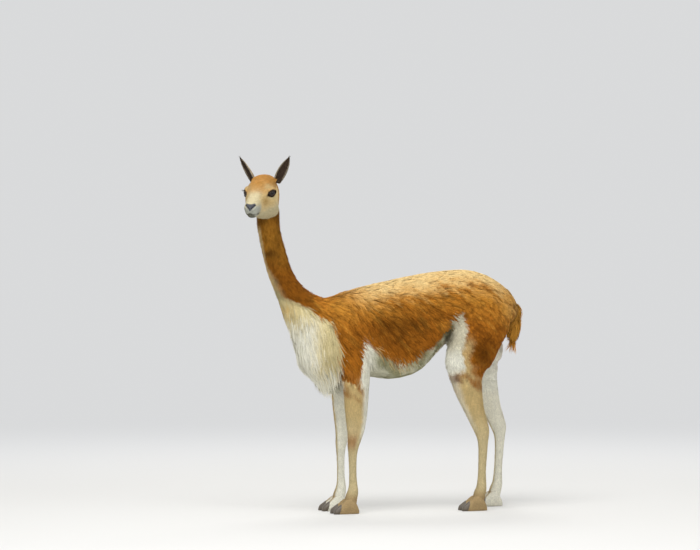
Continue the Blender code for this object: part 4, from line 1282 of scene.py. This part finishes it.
def trimFlank(root, tuft):
    x, _, z = root.T
    above = z - border("flank", x)
    thigh = step(0.10, 0.16, x) * step(0.74, 0.66, z)
    fringe = step(0.06, 0.0, above) * (x > -0.21) * step(0.11, 0.06, x)
    # shaggier low down, shorter on the thigh and by the fold, longest in the fringe
    tuft["length"] *= (0.80 + 0.50 * step(0.90, 0.74, z)) * (1 - 0.45 * thigh)
    tuft["length"] *= 1 + 0.9 * fringe * rng.random(len(root))
    tuft["length"] *= 1 - 0.75 * spotAt(x, z, (0.125, 0.650), (0.045, 0.070))
    tuft["length"] *= 1 - 0.65 * step(0.02, 0.08, x) * step(0.06, 0.02, above)
    tuft["length"] *= 1 - 0.55 * step(0.62, 0.50, z)
    tuft["width"] *= (1 - 0.25 * thigh) * (1 - 0.20 * fringe)
    tuft["depth"] *= 1 - 0.55 * step(-0.02, 0.05, x) * step(0.08, 0.02, above)
    tuft["sample"] += 0.30 * fringe
    tuft["sample"] += (0.9 - tuft["sample"]) * step(0.56, 0.50, z)
    # single pale hairs in the fringe
    pale = fringe * (rng.random(len(root)) < 0.22) * step(0.02, -0.08, x)
    tuft["length"] *= 1 + 0.45 * pale
    tuft["width"] *= 1 - 0.30 * pale
    tuft["sample"] *= 1 - 0.5 * pale
    tuft["pale"] = pale


def trimBib(root, tuft):
    # short and flat under the neck, longest in the middle, and no lower than the elbow
    x, _, z = root.T
    tuft["depth"] = 0.004 + 0.020 * step(0.80, 0.64, z) * rng.uniform(0.25, 1.0, len(root))
    tuft["length"] *= rng.uniform(0.75, 1.15, len(root))
    tuft["length"] *= np.clip(z - 0.458, 0.045, 0.110) / coats["bib"]["length"]
    tuft["length"] *= (1 - 0.72 * step(0.70, 0.86, z)) * (1 - 0.40 * step(0.035, 0.0, border("bib", z) - x))
    tuft["width"] *= 1 - 0.30 * step(0.74, 0.86, z)


def trimBelly(root, tuft):
    tuft["length"] *= 1 - 0.70 * step(0.02, 0.09, root[:, 0])


def trimTail(root, tuft):
    tuft["depth"] = rng.uniform(0.003, 0.015, len(root))
    tuft["length"] *= rng.uniform(0.55, 1.15, len(root))


def trimHead(root, tuft):
    # longer on the crown and the cheeks, short on the muzzle
    x, _, z = inHead(root).T
    crown = step(0.045, -0.005, x) * step(0.02, 0.045, z)
    cheeks = step(-0.03, -0.06, z) * step(0.05, 0.0, x)
    muzzle = step(0.06, 0.10, x)
    tuft["length"] *= 1 + 0.7 * np.maximum(crown, cheeks) + 0.6 * cheeks - 0.45 * muzzle
    tuft["width"] *= 1 + 0.4 * crown - 0.25 * muzzle
    tuft["depth"] = 0.0012 + 0.0032 * np.maximum(crown, cheeks)


def trimEar(root, tuft):
    trimHead(root, tuft)
    tuft["depth"] = np.full(len(root), 0.0012)


trims = {
    "flank": trimFlank, "bib": trimBib, "belly": trimBelly, "tail": trimTail, "head": trimHead,
    "ear": trimEar,
}


def gatherClumps(root, normal, clumps):
    # tips draw towards a chosen neighbour's, along the skin
    centres = rng.choice(len(root), clumps, replace=False)
    tree = KDTree(len(centres))
    for k, c in enumerate(centres):
        tree.insert(root[c], k)
    tree.balance()
    mine = np.array([tree.find(p)[1] for p in root])
    leader = centres[mine]
    drawIn = root[leader] - root
    drawIn -= normal * (drawIn * normal).sum(1)[:, None]
    return mine, leader, drawIn


def tuftFaces(rings):
    # the triangles of one tuft, and -1 for each that looks down at the skin
    faces, under = [(0, 1, 2)], [1]
    for k in range(rings - 1):
        for i in range(3):
            j = (i + 1) % 3
            a, b, c, d = 3 * k + i, 3 * k + j, 3 * k + 3 + j, 3 * k + 3 + i
            faces += [(a, d, b), (b, d, c)]
            under += [-1 if i == 0 else 1] * 2
    last = 3 * (rings - 1)
    for i in range(3):
        faces.append((last + i, last + 3, last + (i + 1) % 3))
        under.append(-1 if i == 0 else 1)
    return np.array(faces), np.array(under)


def growTufts(label, look):
    count, clumps = look["count"], look["clumps"]
    root, normal, rootMap, which = scatterRoots(label, count)
    lie = lieOf(label, root, normal, which)
    tuft = {
        "depth": coatDepth(root),
        "length": look["length"] * rng.uniform(0.75, 1.25, count),
        "width": look["halfWidth"] * rng.uniform(0.75, 1.25, count),
        "sample": np.full(count, 0.45),
        "pale": np.zeros(count),
    }
    if label in trims:
        trims[label](root, tuft)
    depth, length, width = tuft["depth"], tuft["length"], tuft["width"]
    mine, leader, drawIn = gatherClumps(root, normal, clumps)
    clumpTone = 1 + 0.16 * (rng.random(clumps) - 0.5)[mine]
    lie = tangentOf(unit(lie * 0.55 + lie[leader] * 0.45), normal)
    side = np.cross(lie, normal)
    bend = rng.normal(0, 0.10, count)
    # a tuft takes the marking under its middle, so that borders fall where they are drawn, hair among hair
    sample = tuft["sample"] + rng.normal(0, look["mingle"], count)
    colour = colourAt(root + lie * (length * sample)[:, None] + drawIn * (0.3 * look["pull"]), normal, which)
    colour = paint(colour, ("gold", tuft["pale"] * 0.75))
    if label == "tail":
        ownTail = paint(fur["tail"], ("amber", noiseAt(root, 0.012, 13) * 0.7))
        colour = blend(colour, ownTail, 0.9 * step(0.802, 0.765, root[:, 2]))
    lift = rng.uniform(0.72, 1.10, count)
    if label == "flank":
        # calmer along the back, ragged on the rump
        lift = 1 - (1 - lift) * (1 - 0.65 * step(0.83, 0.89, root[:, 2]))
        onRump = step(0.34, 0.42, root[:, 0]) * step(0.90, 0.84, root[:, 2])
        ragged = onRump * (rng.random(clumps)[mine] < 0.35)
        depth = depth * (1 + 0.9 * ragged)
    gap = np.linalg.norm(drawIn, axis=1)
    paleness = step(0.20, 0.48, colour @ np.array([0.30, 0.60, 0.10]))
    # a clump's edge is painted darker as the shade in the gaps between locks, less so where the coat is pale
    outer = np.clip(gap / (1.7 * np.median(gap)), 0, 1) ** 2 * (1 - 0.85 * paleness)
    toneEach = clumpTone * rng.uniform(0.90, 1.10, count) * (1.06 - look["edge"] * outer)
    clumpLift = 1 + look["lumps"] * (rng.random(clumps)[mine] - 0.5) * (1 - 0.6 * paleness)
    # the painted shade at the roots is weaker where the coat is pale or lies in the light
    softRoots = 0.12 + 0.78 * np.maximum(paleness, look["soft"])
    down = np.array([0, 0, -1.0])
    verts, facing, colours, maps = [], [], [], []
    for t, w, rise, tone in ringForms[look["rings"]]:
        centre = root + lie * (length * t)[:, None] + side * (bend * length * t * t)[:, None]
        centre = centre + drawIn * (look["pull"] * t**1.3) + down * (look["hang"] * length * t * t)[:, None]
        if label == "bib":
            over = border("bibFront", centre[:, 2]) + 0.030 * (1.05 - lift) - centre[:, 0]
            centre[:, 0] += np.maximum(over, 0) * 0.85
        if label == "tail":
            over = centre[:, 0] - border("tailBack", centre[:, 2]) + 0.040 * (1.0 - lift)
            centre[:, 0] -= np.maximum(over, 0) * 0.70
        height = depth * rise * look["rise"] * (lift * clumpLift if t else 1)
        if t:
            centre, here = followSkin(centre, normal, height, look["hug"])
        else:
            centre, here = centre + normal * height[:, None], normal
        if w:
            across = unit(np.cross(lie, here))
            half = (width * w)[:, None]
            toned = colour * (toneEach * (tone + (1 - tone) * softRoots))[:, None]
            for aside, up in ((-1, 0), (1, 0), (0, tuftThickness)):
                verts.append(centre + across * half * aside + here * half * up)
                facing.append(unit(here + across * 0.6 * aside + lie * 0.1))
                colours.append(toned)
                maps.append(rootMap + [tuftMap["halfWidth"] * aside, (t - 0.5) * tuftMap["length"]])
        else:
            verts.append(centre)
            facing.append(unit(here + lie * 0.3))
            colours.append(colour * (tone * toneEach)[:, None])
            maps.append(rootMap + [0.0, (t - 0.5) * tuftMap["length"]])
    perTuft = len(verts)
    one, under = tuftFaces(look["rings"])
    # a lock takes the light much as the coat's own surface does, and its underside the other way
    facing = (np.stack(facing, 1)[:, one] * under[None, :, None, None]).reshape(count, -1, 3)
    tris = one[None] + (np.arange(count) * perTuft)[:, None, None]
    verts, colours = np.stack(verts, 1).reshape(-1, 3), np.stack(colours, 1).reshape(-1, 3)
    return verts, facing, tris, colours, np.stack(maps, 1).reshape(-1, 2), len(one)


def coatPiece(name, verts, facing, tris, colours, maps):
    verts = verts + homeArray
    verts[:, 2] = np.maximum(verts[:, 2], 0.0004)
    tris = tris.reshape(-1, 3)
    mesh = bpy.data.meshes.new(name)
    mesh.vertices.add(len(verts))
    mesh.vertices.foreach_set("co", verts.astype(np.float32).ravel())
    mesh.loops.add(len(tris) * 3)
    mesh.loops.foreach_set("vertex_index", tris.astype(np.int32).ravel())
    mesh.polygons.add(len(tris))
    mesh.polygons.foreach_set("loop_start", (np.arange(len(tris)) * 3).astype(np.int32))
    layer = mesh.uv_layers.new(name="OFBake")
    layer.data.foreach_set("uv", maps[tris.ravel()].astype(np.float32).ravel())
    mesh.update(calc_edges=True)
    mesh.shade_smooth()
    mesh.normals_split_custom_set(facing)
    setColours(mesh, colours)
    mesh.materials.append(woolFur)
    made = addObject(name, mesh)
    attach(made, "root")
    return made


mostFaces = 190000   # in one piece
for label, own in coats.items():
    look = {**usual, **own}
    verts, facing, tris, colours, maps, each = growTufts(label, look)
    count, perTuft = tris.shape[0], len(verts) // tris.shape[0]
    share = math.ceil(count * each / mostFaces)
    order = np.argsort(verts[::perTuft, 0]) if share > 1 else np.arange(count)
    for k, some in enumerate(np.array_split(order, share)):
        pickVerts = (some[:, None] * perTuft + np.arange(perTuft)).ravel()
        shift = tris[0][None] + (np.arange(len(some)) * perTuft)[:, None, None]
        name = f"{label}Coat" + (f"_{k + 1}" if share > 1 else "")
        coatPiece(name, verts[pickVerts], facing[some].reshape(-1, 3), shift, colours[pickVerts],
                  maps[pickVerts])
    print("coat", label, count, count * each)

# eyes

eyeLook = {
    "radius": headPlace["eyeRadius"] * 0.985, "iris": "24150C", "pupil": "040303", "rim": "0A0706",
    "pupilSize": (0.42, 0.24), "lash": "2A211A",
}


def makeEye(side, name):
    deselectAll()
    bpy.ops.mesh.primitive_uv_sphere_add(segments=48, ring_count=32, radius=eyeLook["radius"])
    made = bpy.context.object
    made.name = name
    made.data.transform(Matrix.Rotation(math.radians(90), 4, "Y"))
    p = getPoints(made.data)
    across, up = p[:, 1] / eyeLook["radius"], p[:, 2] / eyeLook["radius"]
    out = np.hypot(across, up)
    iris, rim, black = (linearFromHex(eyeLook[key]) for key in ("iris", "rim", "pupil"))
    pupil = np.hypot(across / eyeLook["pupilSize"][0], up / eyeLook["pupilSize"][1])
    c = blend(blend(iris, rim, step(0.70, 0.82, out)), black, step(1.1, 0.9, pupil))
    c[p[:, 0] < 0] = rim
    setColours(made.data, c)
    made.data.transform(Matrix.Translation(home) @ headMatrix @ eyeMatrix(side))
    made.data.shade_smooth()
    made.data.materials.append(eyeMaterial)
    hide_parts(name.replace("Ball", ""))
    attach(made, "root")


# a smooth clear cornea wet with tears: near black, with one small sharp highlight
eyeMaterial, tree = newMaterial("wet cornea over a dark iris")
own = addNode(tree, "ShaderNodeAttribute", {"attribute_name": "coatColour"})
eyeShader = addNode(tree, "ShaderNodeBsdfPrincipled", {
    "Roughness": 0.05, "IOR": 1.38, "Specular IOR Level": 0.5,
}, {"Base Color": own.outputs["Color"]})
finishMaterial(tree, eyeShader)
makeEye(1, "eye_leftBall")
makeEye(-1, "eye_rightBall")

lashLook = {"count": 30, "length": 0.013, "halfWidth": 0.00035, "from": 18, "to": 162, "proud": 0.0014}


def makeLashes(side, name):
    bm = bmesh.new()
    draw = random.Random(5 + side)
    halfWidth, halfHeight = headForm["opening"]
    reach = headPlace["eyeRadius"] + lashLook["proud"]
    first, last = lashLook["from"], lashLook["to"]
    tilt = headForm["openingTilt"] * side
    for k in range(lashLook["count"]):
        t = math.radians(first + (last - first) * k / (lashLook["count"] - 1) + draw.uniform(-2, 2))
        a, u = halfWidth * 1.03 * math.cos(t), halfHeight * 1.05 * math.sin(t)
        across, up = a * math.cos(tilt) - u * math.sin(tilt), a * math.sin(tilt) + u * math.cos(tilt)
        out = math.sqrt(max(reach**2 - across**2 - up**2, 1e-6))
        root = Vector((out, across, up))
        along = Vector((1.0, across / halfWidth * 0.5, -0.20)).normalized()
        curl = Vector((0, 0, 1))
        size = lashLook["length"] * draw.uniform(0.75, 1.1) * (0.6 + 0.4 * math.sin(t))
        beside = along.cross(curl).normalized()
        rings = []
        for share, thick in ((0, 1.0), (0.4, 0.8), (0.75, 0.5)):
            c = root + along * size * share + curl * size * (0.35 * share**2 - 0.08 * share)
            w = lashLook["halfWidth"] * thick
            rings.append([bm.verts.new(c + way) for way in (beside * w, -beside * w, curl * w * 1.2)])
        tip = bm.verts.new(root + along * size + curl * size * 0.27)
        bm.faces.new(rings[0])
        for ra, rb in zip(rings, rings[1:]):
            for i in range(3):
                j = (i + 1) % 3
                bm.faces.new((ra[i], ra[j], rb[j], rb[i]))
        for i in range(3):
            bm.faces.new((rings[-1][i], rings[-1][(i + 1) % 3], tip))
    bmesh.ops.recalc_face_normals(bm, faces=bm.faces)
    mesh = bpy.data.meshes.new(name)
    bm.to_mesh(mesh)
    bm.free()
    mesh.transform(Matrix.Translation(home) @ headMatrix @ eyeMatrix(side))
    made = addObject(name, mesh)
    mesh.materials.append(lashMaterial)
    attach(made, "root")


# stiff smooth keratin hair: thin dark lines with a slight shine
lashMaterial, tree = newMaterial("dark lash hair")
lashTone = opaque(eyeLook["lash"])
finishMaterial(tree, addNode(tree, "ShaderNodeBsdfPrincipled", {"Roughness": 0.45, "Base Color": lashTone}))
makeLashes(1, "lashes_left")
makeLashes(-1, "lashes_right")
print("eyes ready")

# nails

nailLook = {
    "horn": "3B342C", "tipTone": "6E6353", "lineMm": 0.7, "bevel": 0.0007, "ridgeHeight": 0.00025,
    "ridgeStep": 0.0011,
}
# horn grown from root to tip: dull and dark, with paler fine lines along its growth;
# the lines of real horn are a fraction of a millimetre apart, and are drawn 0.7 mm wide so that they show
nailMaterial, tree = newMaterial("grown horn")
place = addNode(tree, "ShaderNodeTexCoord")
lay = addNode(tree, "ShaderNodeMapping", {"Scale": (0.12, 1, 1)}, {"Vector": place.outputs["Object"]})
lines = addNode(tree, "ShaderNodeTexNoise", {"Scale": 1000 / nailLook["lineMm"] / 2, "Detail": 3.0},
                {"Vector": lay.outputs["Vector"]})
horn = addNode(tree, "ShaderNodeMix", {"data_type": "RGBA"})
horn.inputs[6].default_value = opaque(nailLook["horn"])
horn.inputs[7].default_value = opaque(nailLook["tipTone"])
tree.links.new(lines.outputs["Fac"], horn.inputs[0])
raised = addNode(tree, "ShaderNodeBump", {"Strength": 0.3, "Distance": 0.0004},
                 {"Height": lines.outputs["Fac"]})
nailShader = addNode(tree, "ShaderNodeBsdfPrincipled", {"Roughness": 0.42},
                     {"Normal": raised.outputs["Normal"]})
tree.links.new(horn.outputs[2], nailShader.inputs["Base Color"])
finishMaterial(tree, nailShader)


def makeNail(footX, footY, outward, name):
    # the front of the toe past a slanted root, a little proud of the skin, its tip turned down
    rings = []
    for x, top, halfWidth in spline(toeForm["rows"][:-1] + toeForm["nailTip"], 10):
        if x > toeForm["nailStart"]:
            continue
        proud = 1.0 + 0.05 * float(step(-0.030, -0.045, np.float64(x)))
        rings.append([Vector((p.x, p.y * proud, max(p.z * proud, 0.0003)))
                      for p in uprightRing(x, top, toeForm["underside"] * top, halfWidth, 2.2, 36)])
    made = shapeFromRings(name, rings)
    makeActive(made)
    bpy.ops.object.mode_set(mode="EDIT")
    bpy.ops.mesh.select_all(action="SELECT")
    root = (toeForm["nailRoot"], 0, 0)
    bpy.ops.mesh.bisect(plane_co=root, plane_no=toeForm["nailSlant"], use_fill=True, clear_inner=True)
    bpy.ops.mesh.select_all(action="SELECT")
    bpy.ops.mesh.normals_make_consistent(inside=False)
    bpy.ops.object.mode_set(mode="OBJECT")
    rounding = made.modifiers.new("rounding", "BEVEL")
    rounding.width = nailLook["bevel"]
    rounding.segments = 2
    rounding.limit_method = "ANGLE"
    applyModifier(made, "rounding")
    points = getPoints(made.data)
    ridge = nailLook["ridgeHeight"] * np.sin(points[:, 0] / nailLook["ridgeStep"])
    points[:, 2] += ridge * step(0.004, 0.008, points[:, 2])
    setPoints(made.data, points)
    made.data.transform(Matrix.Translation(home) @ toeMatrix(footX, footY, outward))
    made.data.shade_smooth()
    made.data.materials.append(nailMaterial)
    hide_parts(name.replace("Horn", ""))
    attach(made, "root")


for name, footX, footY in feet:
    outer = math.copysign(1, footY)
    makeNail(footX, footY, outer, f"nail_{name}_outerHorn")
    makeNail(footX, footY, -outer, f"nail_{name}_innerHorn")
print("nails ready")
